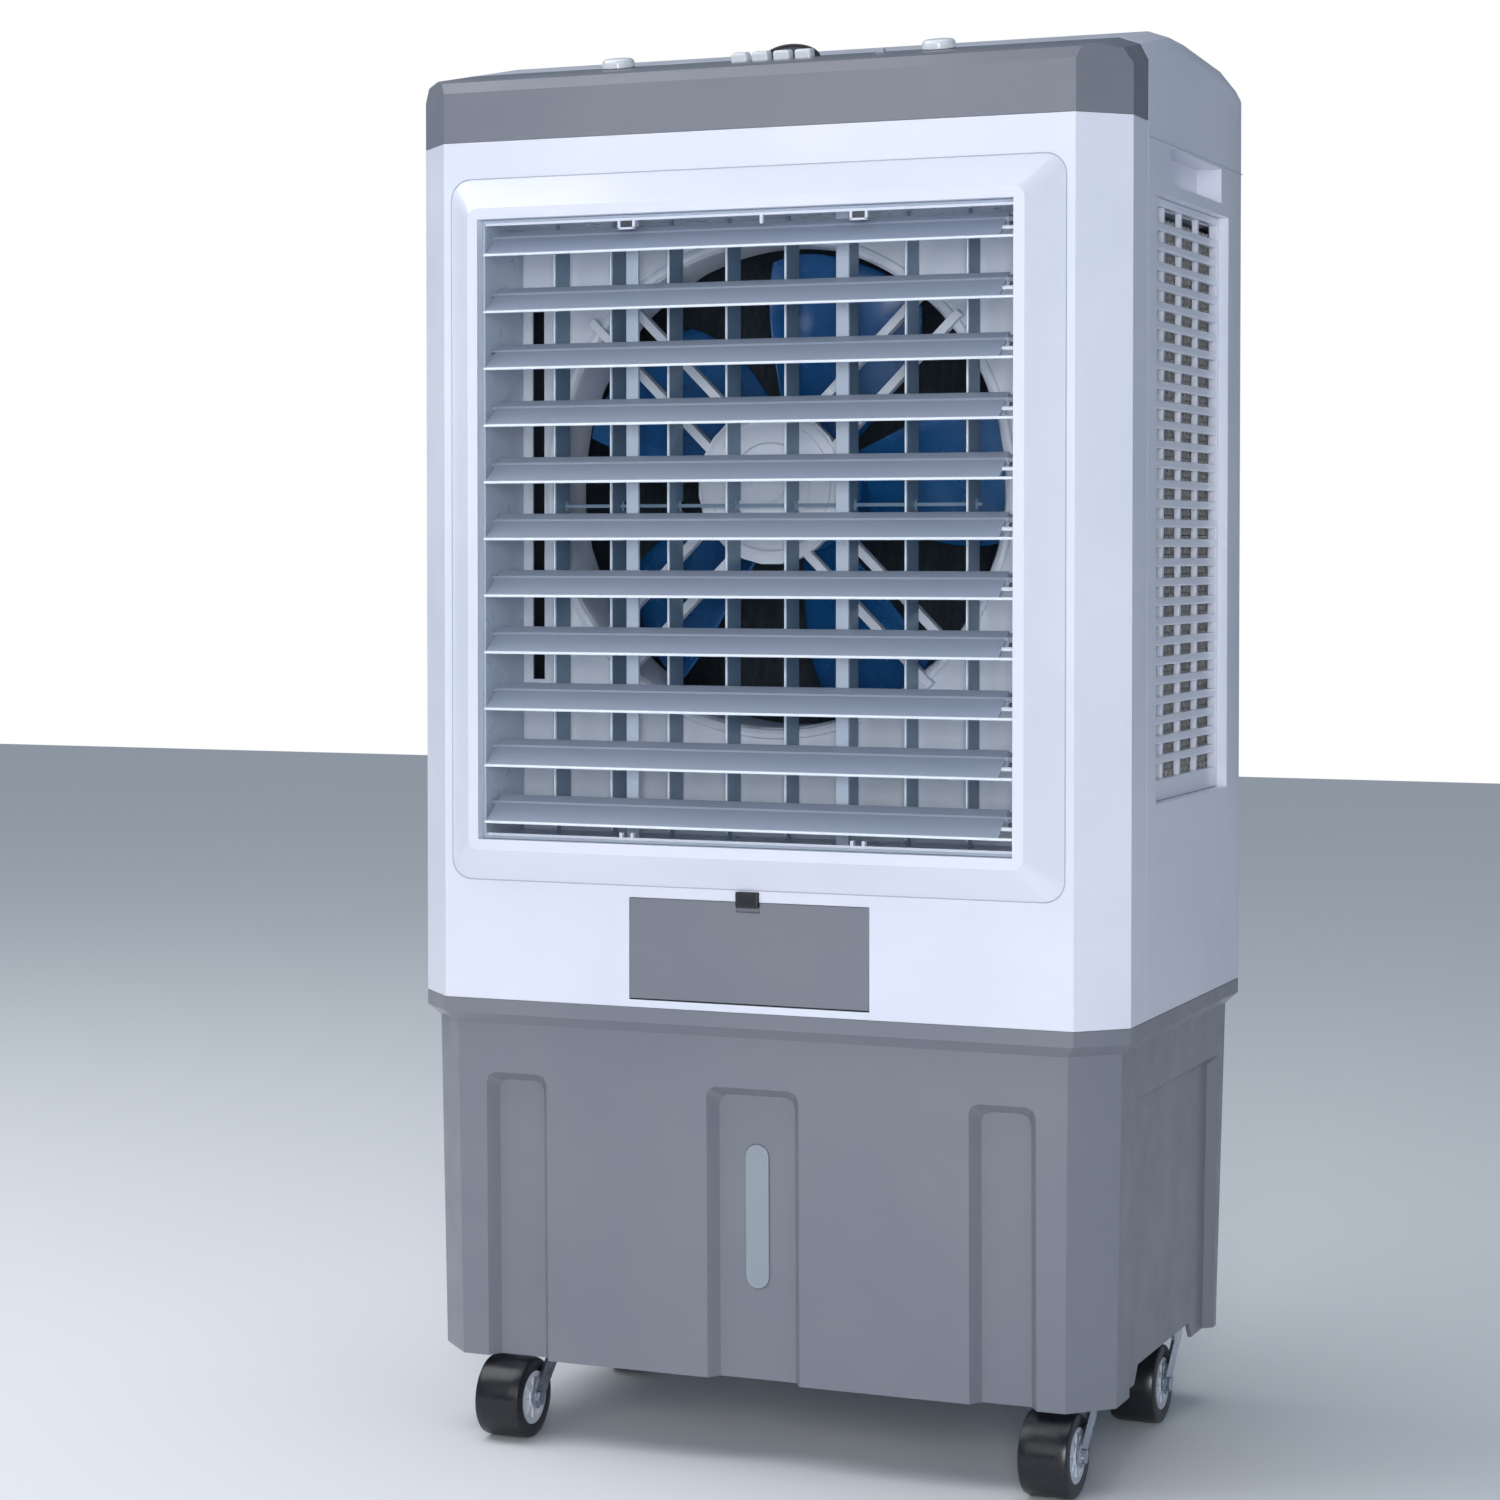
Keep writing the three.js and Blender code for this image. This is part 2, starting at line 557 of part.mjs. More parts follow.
function louvre(i) {
  const z = louvreZ(i);
  const half = LOUVRE_THICK / 2;
  // Section of the blade in its own plane: rounded front bead, thin tail.
  const section = [
    [-LOUVRE_REACH, -half * 0.6], [-LOUVRE_REACH + 2, -half], [LOUVRE_TAIL - 3, -half * 0.8],
    [LOUVRE_TAIL, -half * 0.3], [LOUVRE_TAIL, half * 0.3], [LOUVRE_TAIL - 3, half * 0.8],
    [-LOUVRE_REACH + 2, half], [-LOUVRE_REACH, half * 0.6],
  ];
  const blade = prism(section, -FRAME_IN + 4, ARM_X, FACING_RIGHT)
    .rotate([LOUVRE_REST, 0, 0])
    .translate([0, LOUVRE_Y, z]);
  const pivots = rod("x", PIVOT_R, -FRAME_HALF + GAP, FRAME_HALF - GAP, [0, LOUVRE_Y, z], 6);
  const arm = block([ARM_X - 1, -2.5, -2.2], [ARM_X + LINK_THICK, ARM_R + 2.5, 2.2])
    .rotate([ARM_REST, 0, 0])
    .translate([0, LOUVRE_Y, z]);
  const pin = rod("x", LINK_PIN_R, ARM_X, LINK_X + LINK_THICK + 1, linkPin(z), 6);
  return join(blade, pivots, arm, pin);
}

function louvreLink() {
  const [, y, top] = linkPin(louvreZ(0));
  const bottom = linkPin(louvreZ(LOUVRES - 1))[2];
  const strip = block([LINK_X, y - LINK_WIDTH / 2, bottom - 4],
    [LINK_X + LINK_THICK, y + LINK_WIDTH / 2, top + 4]);
  const holes = Array.from({ length: LOUVRES }, (_, i) =>
    rod("x", LINK_PIN_R + PIVOT_PLAY, LINK_X - 1, LINK_X + LINK_THICK + 1, linkPin(louvreZ(i)), 6));
  return cut(strip, ...holes);
}

const VANE_LINK_Z = FAN_Z - 18;
const VANE_LINK_Y = VANE_FRONT_Y + VANE_PIN_BACK;

function vane(i) {
  const x = vaneX(i);
  const reach = FRAME_IN_HEIGHT - VANE_END_GAP;
  const half = VANE_THICK / 2;
  const back = VANE_FRONT_Y + VANE_CHORD;
  const blade = block([x - half, VANE_FRONT_Y, OUTLET_MID - reach], [x + half, back, OUTLET_MID + reach]);
  const notch = block([x - 5, VANE_LINK_Y - 7, VANE_LINK_Z - VANE_NOTCH / 2],
    [x + 5, back + 1, VANE_LINK_Z + VANE_NOTCH / 2]);
  const pin = rod("z", LINK_PIN_R, VANE_LINK_Z - VANE_NOTCH / 2 - 1, VANE_LINK_Z + VANE_NOTCH / 2 + 1,
    [x, VANE_LINK_Y, 0], 6);
  const pivots = [-1, 1].map((end) => {
    const ends = [end * (reach - 1), end * (FRAME_HALF_HEIGHT - GAP)].sort((a, b) => a - b);
    return rod("z", PIVOT_R, OUTLET_MID + ends[0], OUTLET_MID + ends[1], [x, VANE_Y, 0], 6);
  });
  return join(cut(blade, notch), pin, ...pivots);
}

function vaneLink() {
  const reach = vaneX(VANES - 1) + 6;
  const strip = block([-reach, VANE_LINK_Y - 4, VANE_LINK_Z - 1.5],
    [reach, VANE_LINK_Y + 4, VANE_LINK_Z + 1.5]);
  const holes = Array.from({ length: VANES }, (_, i) =>
    rod("z", LINK_PIN_R + PIVOT_PLAY, VANE_LINK_Z - 3, VANE_LINK_Z + 3, [vaneX(i), VANE_LINK_Y, 0], 6));
  return cut(strip, ...holes);
}

add("louvre_frame", louvreFrame(), "pale");
for (let i = 0; i < LOUVRES; i++) {
  add(`louvre_${String(i + 1).padStart(2, "0")}`, louvre(i), "louvre");
}
add("louvre_link", louvreLink(), "pale");
for (let i = 0; i < VANES; i++) add(`vane_${i + 1}`, vane(i), "pale");
add("vane_link", vaneLink(), "pale");

// ---- Fan, its shroud, guard and motor ----
function fanShroud() {
  const half = OUTLET_HALF + SHROUD_MARGIN;
  const tall = OUTLET_HALF_HEIGHT + SHROUD_MARGIN;
  const plate = block([-half, SHROUD_Y, OUTLET_MID - tall], [half, SHROUD_Y + WALL, OUTLET_MID + tall]);
  const ring = rod("y", ORIFICE_R + WALL, SHROUD_Y, SHROUD_Y + RING_DEPTH, [0, 0, FAN_Z], 36);
  const bore = rod("y", ORIFICE_R, SHROUD_Y - 1, SHROUD_Y + RING_DEPTH + 1, [0, 0, FAN_Z], 36);
  const slotX = OUTLET_HALF - 1.5 * SHROUD_SLOT;
  const slots = [-1, 1].map((side) =>
    block([side * slotX - SHROUD_SLOT / 2, SHROUD_Y - 1, FAN_Z - 180],
      [side * slotX + SHROUD_SLOT / 2, SHROUD_Y + WALL + 1, FAN_Z + 165]));
  return join(cut(join(plate, ring), bore, ...slots), guardArms());
}

// Middle disc and four pairs of arms, moulded in one with the shroud.
function guardArms() {
  const parts = [rod("y", GUARD_DISC_R, GUARD_Y, GUARD_Y + ARM_DEPTH, [0, 0, FAN_Z], 24)];
  const reach = ORIFICE_R + 14;
  for (let turn = 45; turn < 360; turn += 90) {
    for (const side of [-ARM_SPREAD, ARM_SPREAD]) {
      const arm = block([MOTOR_R + ARM_ROOT, GUARD_Y, side - ARM_WIDTH / 2],
        [reach, SHROUD_Y + 1, side + ARM_WIDTH / 2]);
      parts.push(arm.rotate([0, turn, 0]).translate([0, 0, FAN_Z]));
    }
  }
  return join(...parts);
}

function fanMotor() {
  const body = rod("y", MOTOR_R, MOTOR_Y, MOTOR_Y + MOTOR_DEPTH, [0, 0, FAN_Z], 20);
  const shaft = rod("y", SHAFT_R, MOTOR_Y + MOTOR_DEPTH - 1, HUB_Y + HUB_DEPTH - 6, [0, 0, FAN_Z], 12);
  return join(body, shaft);
}

function fan() {
  const hub = cut(
    rod("y", HUB_R, HUB_Y, HUB_Y + HUB_DEPTH, [0, 0, FAN_Z], 24),
    rod("y", SHAFT_R + GAP, HUB_Y - 1, HUB_Y + HUB_DEPTH + 1, [0, 0, FAN_Z], 12));
  const section = (chord, pitch) => {
    const turn = THREE.MathUtils.degToRad(pitch);
    const corners = [[-1, -1], [1, -1], [1, 1], [-1, 1]];
    return corners.map(([u, v]) => {
      const [across, along] = [(u * BLADE_THICK) / 2, (v * chord) / 2];
      return [
        across * Math.cos(turn) - along * Math.sin(turn),
        across * Math.sin(turn) + along * Math.cos(turn),
      ];
    });
  };
  const tip = ORIFICE_R - TIP_GAP;
  const blade = loft([
    [HUB_R - 6, section(BLADE_CHORD * 0.62, BLADE_PITCH + 12)],
    [(HUB_R + tip) / 2, section(BLADE_CHORD * 0.9, BLADE_PITCH + 4)],
    [tip - 14, section(BLADE_CHORD, BLADE_PITCH)],
    [tip - 2, section(BLADE_CHORD * 0.78, BLADE_PITCH - 1)],
  ], FACING_RIGHT);
  const blades = Array.from({ length: BLADES }, (_, i) =>
    blade.rotate([0, (360 * i) / BLADES, 0]).translate([0, HUB_Y + HUB_DEPTH / 2, FAN_Z]));
  return join(hub, ...blades);
}

add("fan_shroud", fanShroud(), "white");
add("fan_motor", fanMotor(), "steel");
add("fan", fan(), "blue");

// ---- Grilles, pads and the water tray over them ----
const PAD_OUT = GRILLE_OUT + GRILLE_THICK + GAP;
const PAD_TOP = INLET_TOP - 8;
const SIDE_Y = [SPLIT_Y + SIDE_INLET_FRONT, REAR_Y - SIDE_INLET_REAR];
const REAR_HALF = HALF_WIDTH - REAR_INLET_INSET;

// Slatted panel, drawn as seen from its outer side, growing outwards.
function grille(u0, u1, plain, facing, level) {
  const panel = prism([[u0, INLET_BASE], [u1, INLET_BASE], [u1, INLET_TOP], [u0, INLET_TOP]],
    level - GRILLE_THICK, level, facing);
  const low = INLET_BASE + 20;
  const pitch = (INLET_TOP - 8 - low) / GRILLE_SLOTS;
  const slots = Array.from({ length: GRILLE_SLOTS }, (_, i) => {
    const [z0, z1] = [low + pitch * i, low + pitch * i + pitch * 0.72];
    return prism([[u0 + 7, z0], [u1 - plain, z0], [u1 - plain, z1], [u0 + 7, z1]],
      level - GRILLE_THICK - 1, level + 1, facing);
  });
  return cut(panel, ...slots);
}

const sideGrille = grille(SIDE_Y[0], SIDE_Y[1], 7, FACING_RIGHT, HALF_WIDTH - GRILLE_OUT);
const rearGrille = grille(-REAR_HALF, REAR_HALF, 7, FACING_FRONT, REAR_Y - GRILLE_OUT);
add("grille_right", sideGrille, "white");
add("grille_left", sideGrille.mirror([1, 0, 0]), "white");
add("grille_rear", rearGrille.mirror([0, 1, 0]), "white");

const sidePad = block([HALF_WIDTH - PAD_OUT - PAD_THICK, SIDE_Y[0] + 4, INLET_BASE - 4],
  [HALF_WIDTH - PAD_OUT, REAR_Y - PAD_OUT - PAD_THICK - 3, PAD_TOP]);
add("pad_right", sidePad, "pad");
add("pad_left", sidePad.mirror([1, 0, 0]), "pad");
add("pad_rear", block([-REAR_HALF - 10, REAR_Y - PAD_OUT - PAD_THICK, INLET_BASE - 4],
  [REAR_HALF + 10, REAR_Y - PAD_OUT, PAD_TOP]), "pad");

function waterDistributor() {
  const front = SIDE_Y[0] + 4;
  const [low, high] = [PAD_TOP + GAP, PAD_TOP + GAP + TRAY_HEIGHT];
  const form = (trim, start, from, to) =>
    prism(planOutline(HALF_WIDTH - PAD_OUT - trim, start, REAR_Y - PAD_OUT - trim, 1, CORNER_ROUND),
      from, to);
  const ring = (thin, from, to) =>
    cut(form(thin, front + thin, from, to),
      form(PAD_THICK - thin, front - 5, from - 1, to + 1));
  return cut(ring(0, low, high), ring(2.5, low + 2.5, high + 1));
}
add("water_distributor", waterDistributor(), "white");

const { x: glandX, z: glandZ, r: glandR, depth: glandDepth } = GLAND;
const glandFace = REAR_Y - glandDepth;
add("cord_gland", cut(
  join(rod("y", glandR, glandFace - WALL - 5, glandFace + 9, [glandX, 0, glandZ], 12),
    rod("y", glandR + 4, glandFace + GAP, glandFace + 5, [glandX, 0, glandZ], 6)),
  rod("y", 3.5, glandFace - WALL - 6, glandFace + 10, [glandX, 0, glandZ])), "black");

// ---- Water tank ----
const foot = planOutline(FOOT_HALF, FOOT_FRONT, FOOT_REAR, CORNER_CHAMFER - 4, CORNER_ROUND);
const brow = planOutline(TANK_HALF, TANK_FRONT, REAR_Y - RIM_INSET, CORNER_CHAMFER - 2, CORNER_ROUND);
const rimPlan = planOutline(HALF_WIDTH, FRONT_Y, REAR_Y, CORNER_CHAMFER, CORNER_ROUND);

// Leans a drawing so that its own level zero lies on the tank's sloping wall.
function leaning(facing, spread, start, axis) {
  const slope = spread / TANK_HEIGHT;
  const shift = start - slope * SKIRT_BASE;
  const lean = new THREE.Matrix4();
  if (axis === "y") lean.set(1, 0, 0, 0, 0, 1, slope, shift, 0, 0, 1, 0, 0, 0, 0, 1);
  if (axis === "x") lean.set(1, 0, slope, shift, 0, 1, 0, 0, 0, 0, 1, 0, 0, 0, 0, 1);
  return lean.multiply(facing);
}

const FRONT_WALL = leaning(FACING_FRONT, TANK_FRONT - FOOT_FRONT, FOOT_FRONT, "y");
const SIDE_WALL = leaning(FACING_RIGHT, TANK_HALF - FOOT_HALF, FOOT_HALF, "x");
const BACK_WALL = leaning(FACING_RIGHT, TAPER_REAR, FOOT_REAR, "x");

// Upright outline with two rounded top corners, standing on a level below the skirt.
function archOutline(middle, half, top, radius = 9) {
  const arc = (u, start) =>
    [0, 45, 90].map((step) => {
      const turn = THREE.MathUtils.degToRad(start + step);
      return [u + radius * Math.cos(turn), top - radius + radius * Math.sin(turn)];
    });
  return [
    [middle - half, SKIRT_BASE - 20],
    [middle + half, SKIRT_BASE - 20],
    ...arc(middle + half - radius, 0),
    ...arc(middle - half + radius, 90),
  ];
}

// Recess with sloping sides in a tank wall; grow gives the wall behind it.
function recess(middle, width, depth, facing, grow = 0) {
  const half = width / 2 + grow;
  const top = CHANNEL_TOP + grow;
  return loft([
    [-depth - grow, archOutline(middle, half - CHANNEL_SLOPE, top - CHANNEL_SLOPE)],
    [0, archOutline(middle, half, top)],
    [20, archOutline(middle, half, top)],
  ], facing);
}

function tankRecesses(grow) {
  const front = [
    recess(0, MID_CHANNEL, CHANNEL_DEPTH, FRONT_WALL, grow),
    recess(-SIDE_CHANNEL_X, SIDE_CHANNEL, CHANNEL_DEPTH, FRONT_WALL, grow),
    recess(SIDE_CHANNEL_X, SIDE_CHANNEL, CHANNEL_DEPTH, FRONT_WALL, grow),
  ];
  const [y0, y1] = [FRONT_Y + 91, REAR_Y - 78];
  const right = recess((y0 + y1) / 2, y1 - y0, SIDE_PANEL_DEPTH, SIDE_WALL, grow);
  const back = recess(0, 2 * FOOT_HALF - 150, SIDE_PANEL_DEPTH, BACK_WALL, grow).rotate([0, 0, 90]);
  return [...front, right, right.mirror([1, 0, 0]), back];
}

const windowMid = [0, (WINDOW_BASE + WINDOW_TOP) / 2];
function windowForm(grow, from, to) {
  const half = WINDOW_WIDTH / 2 + grow;
  const tall = (WINDOW_TOP - WINDOW_BASE) / 2 + grow;
  return prism(roundedRect(half, tall, half - 0.1, windowMid, 5), from, to, FRONT_WALL);
}

const DRAIN = [60, FRONT_Y + 97, 0];

function waterTank() {
  const outer = loft([[SKIRT_BASE, foot], [RIM_STEP, brow], [RIM_BASE, rimPlan], [BODY_BASE - GAP, rimPlan]]);
  const inner = loft([
    [TANK_FLOOR + TANK_WALL, inset(foot, TANK_WALL)],
    [RIM_STEP, inset(brow, TANK_WALL)],
    [RIM_BASE + 2, inset(rimPlan, TANK_WALL)],
    [BODY_BASE + 1, inset(rimPlan, TANK_WALL)],
  ]);
  const under = prism(inset(foot, TANK_WALL), SKIRT_BASE - 1, TANK_FLOOR);
  const ribs = [
    block([-122, -BODY_DEPTH, TANK_FLOOR - 12], [-118, BODY_DEPTH, TANK_FLOOR + 1]),
    block([118, -BODY_DEPTH, TANK_FLOOR - 12], [122, BODY_DEPTH, TANK_FLOOR + 1]),
    block([-122, -2, TANK_FLOOR - 12], [122, 2, TANK_FLOOR + 1]),
  ];
  const backing = tankRecesses(TANK_WALL);
  const arch = [[FRONT_Y + 137, SKIRT_BASE - 1], [REAR_Y - 124, SKIRT_BASE - 1],
    [REAR_Y - 136, SKIRT_BASE + ARCH_RISE], [FRONT_Y + 149, SKIRT_BASE + ARCH_RISE]];
  return cut(outer, ...tankRecesses(0), cut(inner, ...backing), cut(under, ...backing, ...ribs),
    prism(arch, -WIDE, WIDE, FACING_RIGHT),
    windowForm(GAP, -CHANNEL_DEPTH - TANK_WALL - 5, 0),
    rod("z", DRAIN_R + GAP, TANK_FLOOR - 5, TANK_FLOOR + 10, DRAIN, 12));
}

add("water_tank", waterTank(), "grey");
add("level_window", windowForm(0, -CHANNEL_DEPTH - TANK_WALL, -CHANNEL_DEPTH + 1.5), "window");
add("drain_plug", join(
  rod("z", DRAIN_R + 5, TANK_FLOOR - 8, TANK_FLOOR - GAP, DRAIN, 12),
  rod("z", DRAIN_R, TANK_FLOOR - 2, TANK_FLOOR + TANK_WALL + 3, DRAIN, 12)), "grey");

const pumpAt = [HALF_WIDTH - 145, REAR_Y - 125, 0];
const pumpBase = TANK_FLOOR + TANK_WALL + GAP;
add("pump", join(
  rod("z", 34, pumpBase, pumpBase + 48, pumpAt, 16),
  rod("z", 24, pumpBase + 47, pumpBase + 100, pumpAt, 16),
  rod("x", 8, pumpAt[0] + 20, pumpAt[0] + 48, [0, pumpAt[1], pumpBase + 24])), "black");

// ---- Swivel casters ----
function caster(x, y, name) {
  const plateTop = TANK_FLOOR - GAP;
  const plateLow = plateTop - PLATE_THICK;
  const raceLow = plateLow - 5;
  const crownTop = raceLow - GAP;
  const crownLow = crownTop - FORK_PLATE - 1;
  const legIn = WHEEL_WIDTH / 2 + 1;
  const legOut = legIn + FORK_PLATE;
  const axleY = y - TRAIL;
  const hub = [x, axleY, WHEEL_R];

  const plate = join(
    block([x - PLATE_WIDTH / 2, y - PLATE_LENGTH / 2, plateLow],
      [x + PLATE_WIDTH / 2, y + PLATE_LENGTH / 2, plateTop]),
    rod("z", RACE_R, raceLow, plateLow + 1, [x, y, 0], 20));
  const pinHole = rod("z", 5 + GAP, raceLow - 1, plateLow + 1, [x, y, 0], 10);

  const leg = (at) =>
    prism([
      [axleY - 9, WHEEL_R - 3], [axleY, WHEEL_R - 10], [axleY + 9, WHEEL_R - 3],
      [y - 2, SKIRT_BASE - 18], [y + 14, SKIRT_BASE - 2], [y + 14, crownTop],
      [y - 14, crownTop], [y - 14, SKIRT_BASE - 4], [axleY - 9, WHEEL_R + 6],
    ], at, at + FORK_PLATE, FACING_RIGHT);
  const fork = join(
    rod("z", RACE_R - 1, crownLow, crownTop, [x, y, 0], 20),
    block([x - legOut, y - 14, crownLow], [x + legOut, y + 14, crownTop]),
    leg(x - legOut), leg(x + legIn),
    rod("z", 5, crownLow, plateLow - 0.5, [x, y, 0], 10),
    rod("x", AXLE_R, x - legOut, x + legOut, hub, 8),
    rod("x", 7, x - legOut - 3, x - legOut + 0.5, hub, 6),
    rod("x", 7, x + legOut - 0.5, x + legOut + 3, hub, 6));

  const tread = WHEEL_R / Math.cos(Math.PI / WHEEL_SIDES);
  const half = WHEEL_WIDTH / 2;
  const wheel = cut(
    loft([
      [x - half, ngon(tread - 3, hub)], [x - half + 3, ngon(tread, hub)],
      [x + half - 3, ngon(tread, hub)], [x + half, ngon(tread - 3, hub)],
    ], FACING_RIGHT),
    rod("x", AXLE_R + GAP, x - half - 1, x + half + 1, hub, 8));
  add(`caster_plate_${name}`, cut(plate, pinHole), "zinc");
  add(`caster_fork_${name}`, fork, "zinc");
  add(`caster_wheel_${name}`, wheel, "tyre");
}

// Regular polygon in the YZ plane with a flat side down.
function ngon(radius, [, y, z]) {
  return Array.from({ length: WHEEL_SIDES }, (_, i) => {
    const turn = ((i + 0.5) * 2 * Math.PI) / WHEEL_SIDES;
    return [y + radius * Math.cos(turn), z + radius * Math.sin(turn)];
  });
}

const CASTER_X = { left: -FOOT_HALF + CASTER_LEFT, right: FOOT_HALF - CASTER_RIGHT };
const CASTER_Y = { front: FOOT_FRONT + CASTER_FRONT, rear: FOOT_REAR - CASTER_REAR };
for (const [row, y] of Object.entries(CASTER_Y)) {
  for (const [side, x] of Object.entries(CASTER_X)) caster(x, y, `${row}_${side}`);
}

export default model;
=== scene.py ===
"""Evaporative cooler: the visible pieces, finishes and stage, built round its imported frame."""

import json
import math

import bmesh
import bpy
from mathutils import Matrix, Vector


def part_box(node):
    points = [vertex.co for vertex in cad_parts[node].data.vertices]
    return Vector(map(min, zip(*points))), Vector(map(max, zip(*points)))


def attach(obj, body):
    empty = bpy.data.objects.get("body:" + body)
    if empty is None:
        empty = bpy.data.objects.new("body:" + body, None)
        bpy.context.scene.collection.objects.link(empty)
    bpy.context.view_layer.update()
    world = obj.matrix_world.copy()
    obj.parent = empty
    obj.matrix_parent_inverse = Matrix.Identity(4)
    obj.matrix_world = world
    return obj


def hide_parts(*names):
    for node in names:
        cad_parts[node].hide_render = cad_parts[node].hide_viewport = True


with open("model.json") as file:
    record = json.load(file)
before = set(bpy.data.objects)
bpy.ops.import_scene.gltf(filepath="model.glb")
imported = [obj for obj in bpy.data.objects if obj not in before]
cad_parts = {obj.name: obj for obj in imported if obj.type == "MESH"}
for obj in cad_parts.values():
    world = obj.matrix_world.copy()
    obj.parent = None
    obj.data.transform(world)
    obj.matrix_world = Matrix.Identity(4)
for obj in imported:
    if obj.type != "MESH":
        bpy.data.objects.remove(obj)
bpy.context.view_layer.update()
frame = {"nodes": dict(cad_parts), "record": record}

bl_info = {
    "name": "Evaporative cooler",
    "version": (1, 0, 0),
    "blender": (4, 5, 0),
    "location": "3D View > Sidebar > Cooler",
    "description": "Builds the shells, louvres, grilles, fan, tank, casters and finishes of the cooler",
    "category": "Object",
}

MM = 0.001


# ---- Values a user may change ----
class CoolerSizes(bpy.types.PropertyGroup):
    """Sizes of the details that the frame does not fix"""
    shell_edge: bpy.props.FloatProperty(
        name="Shell edge", description="Round on the body shells' edges",
        default=2.2 * MM, min=0.2 * MM, subtype="DISTANCE", unit="LENGTH")
    tank_edge: bpy.props.FloatProperty(
        name="Tank edge", description="Round on the water tank's edges",
        default=2.6 * MM, min=0.2 * MM, subtype="DISTANCE", unit="LENGTH")
    small_edge: bpy.props.FloatProperty(
        name="Small edge", description="Round on small moulded pieces",
        default=0.7 * MM, min=0.1 * MM, subtype="DISTANCE", unit="LENGTH")
    slat_rows: bpy.props.IntProperty(
        name="Grille rows", description="Slats in each side grille", default=28, min=4)
    slat_columns: bpy.props.IntProperty(
        name="Grille columns", description="Columns of air holes in each side grille", default=4, min=1)
    slat_height: bpy.props.FloatProperty(
        name="Slat height", description="Height of one grille slat",
        default=7.6 * MM, min=1 * MM, subtype="DISTANCE", unit="LENGTH")
    flute: bpy.props.FloatProperty(
        name="Pad flute", description="Spacing of the flutes in the cooling pads",
        default=9 * MM, min=3 * MM, subtype="DISTANCE", unit="LENGTH")
    knob_ridges: bpy.props.IntProperty(
        name="Knob ridges", description="Grip ridges round each knob", default=28, min=6)


def colour(name, text, value):
    return bpy.props.FloatVectorProperty(
        name=name, description=text, subtype="COLOR", size=3, min=0, max=1, default=value)


class CoolerColours(bpy.types.PropertyGroup):
    """Colours of the finishes"""
    white: colour("White plastic", "Body shells and grilles", (0.79, 0.80, 0.885))
    pale: colour("Pale plastic", "Louvre frame and links", (0.47, 0.53, 0.62))
    grey: colour("Grey plastic", "Top cover, tank and fill door", (0.205, 0.212, 0.245))
    louvre: colour("Louvre plastic", "Louvre blades", (0.33, 0.37, 0.46))
    fan: colour("Fan plastic", "Fan blades and hub", (0.012, 0.12, 0.33))
    pad: colour("Pad", "Corrugated cooling pads", (0.30, 0.31, 0.33))
    black: colour("Black plastic", "Latch, pump and gland", (0.018, 0.018, 0.022))
    tyre: colour("Tread", "Caster treads", (0.009, 0.010, 0.013))
    window: colour("Level window", "Water level window", (0.30, 0.33, 0.37))
    zinc: colour("Zinc", "Caster forks and plates", (0.56, 0.60, 0.66))


def sizes():
    return bpy.context.scene.cooler_sizes


def colours():
    return bpy.context.scene.cooler_colours


# ---- Finishes ----
def shader_tree(name):
    """A new material, its node maker and its Principled shader."""
    material = bpy.data.materials.new(name)
    material.use_nodes = True
    tree = material.node_tree
    shader = tree.nodes["Principled BSDF"]
    place = tree.nodes.new("ShaderNodeTexCoord").outputs["Object"]
    return material, tree, shader, place


def noise(tree, place, scale, detail=3.0, rough=0.55):
    node = tree.nodes.new("ShaderNodeTexNoise")
    node.inputs["Scale"].default_value = scale
    node.inputs["Detail"].default_value = detail
    node.inputs["Roughness"].default_value = rough
    tree.links.new(place, node.inputs["Vector"])
    return node.outputs["Fac"]


def ramp(tree, value, low, high, start=0.35, end=0.65):
    node = tree.nodes.new("ShaderNodeMapRange")
    for socket, number in (("From Min", start), ("From Max", end), ("To Min", low), ("To Max", high)):
        node.inputs[socket].default_value = number
    tree.links.new(value, node.inputs["Value"])
    return node.outputs["Result"]


def tint(tree, fac, base, shift):
    """Colour that drifts between base and a slightly shifted one."""
    node = tree.nodes.new("ShaderNodeMix")
    node.data_type = "RGBA"
    node.inputs[6].default_value = (*base, 1)
    node.inputs[7].default_value = (*(min(1, max(0, c * s)) for c, s in zip(base, shift)), 1)
    tree.links.new(fac, node.inputs[0])
    return node.outputs[2]


def bump(tree, height, strength, distance, shader):
    node = tree.nodes.new("ShaderNodeBump")
    node.inputs["Strength"].default_value = strength
    node.inputs["Distance"].default_value = distance
    tree.links.new(height, node.inputs["Height"])
    tree.links.new(node.outputs["Normal"], shader.inputs["Normal"])


def moulded(name, base, rough=(0.28, 0.40), grain=900, depth=0.25, shift=(0.93, 0.95, 0.97), coat=0.0):
    """Injection-moulded plastic: faint flow clouds, fine spark grain and uneven gloss."""
    material, tree, shader, place = shader_tree(name)
    link = tree.links.new
    clouds = noise(tree, place, 5, 4)
    link(tint(tree, ramp(tree, clouds, 0, 1), base, shift), shader.inputs["Base Color"])
    link(ramp(tree, noise(tree, place, 24, 5), rough[0], rough[1]), shader.inputs["Roughness"])
    bump(tree, noise(tree, place, grain, 2), depth, 0.06 * MM, shader)
    shader.inputs["Coat Weight"].default_value = coat
    shader.inputs["Coat Roughness"].default_value = 0.12
    shader.inputs["IOR"].default_value = 1.49
    return material


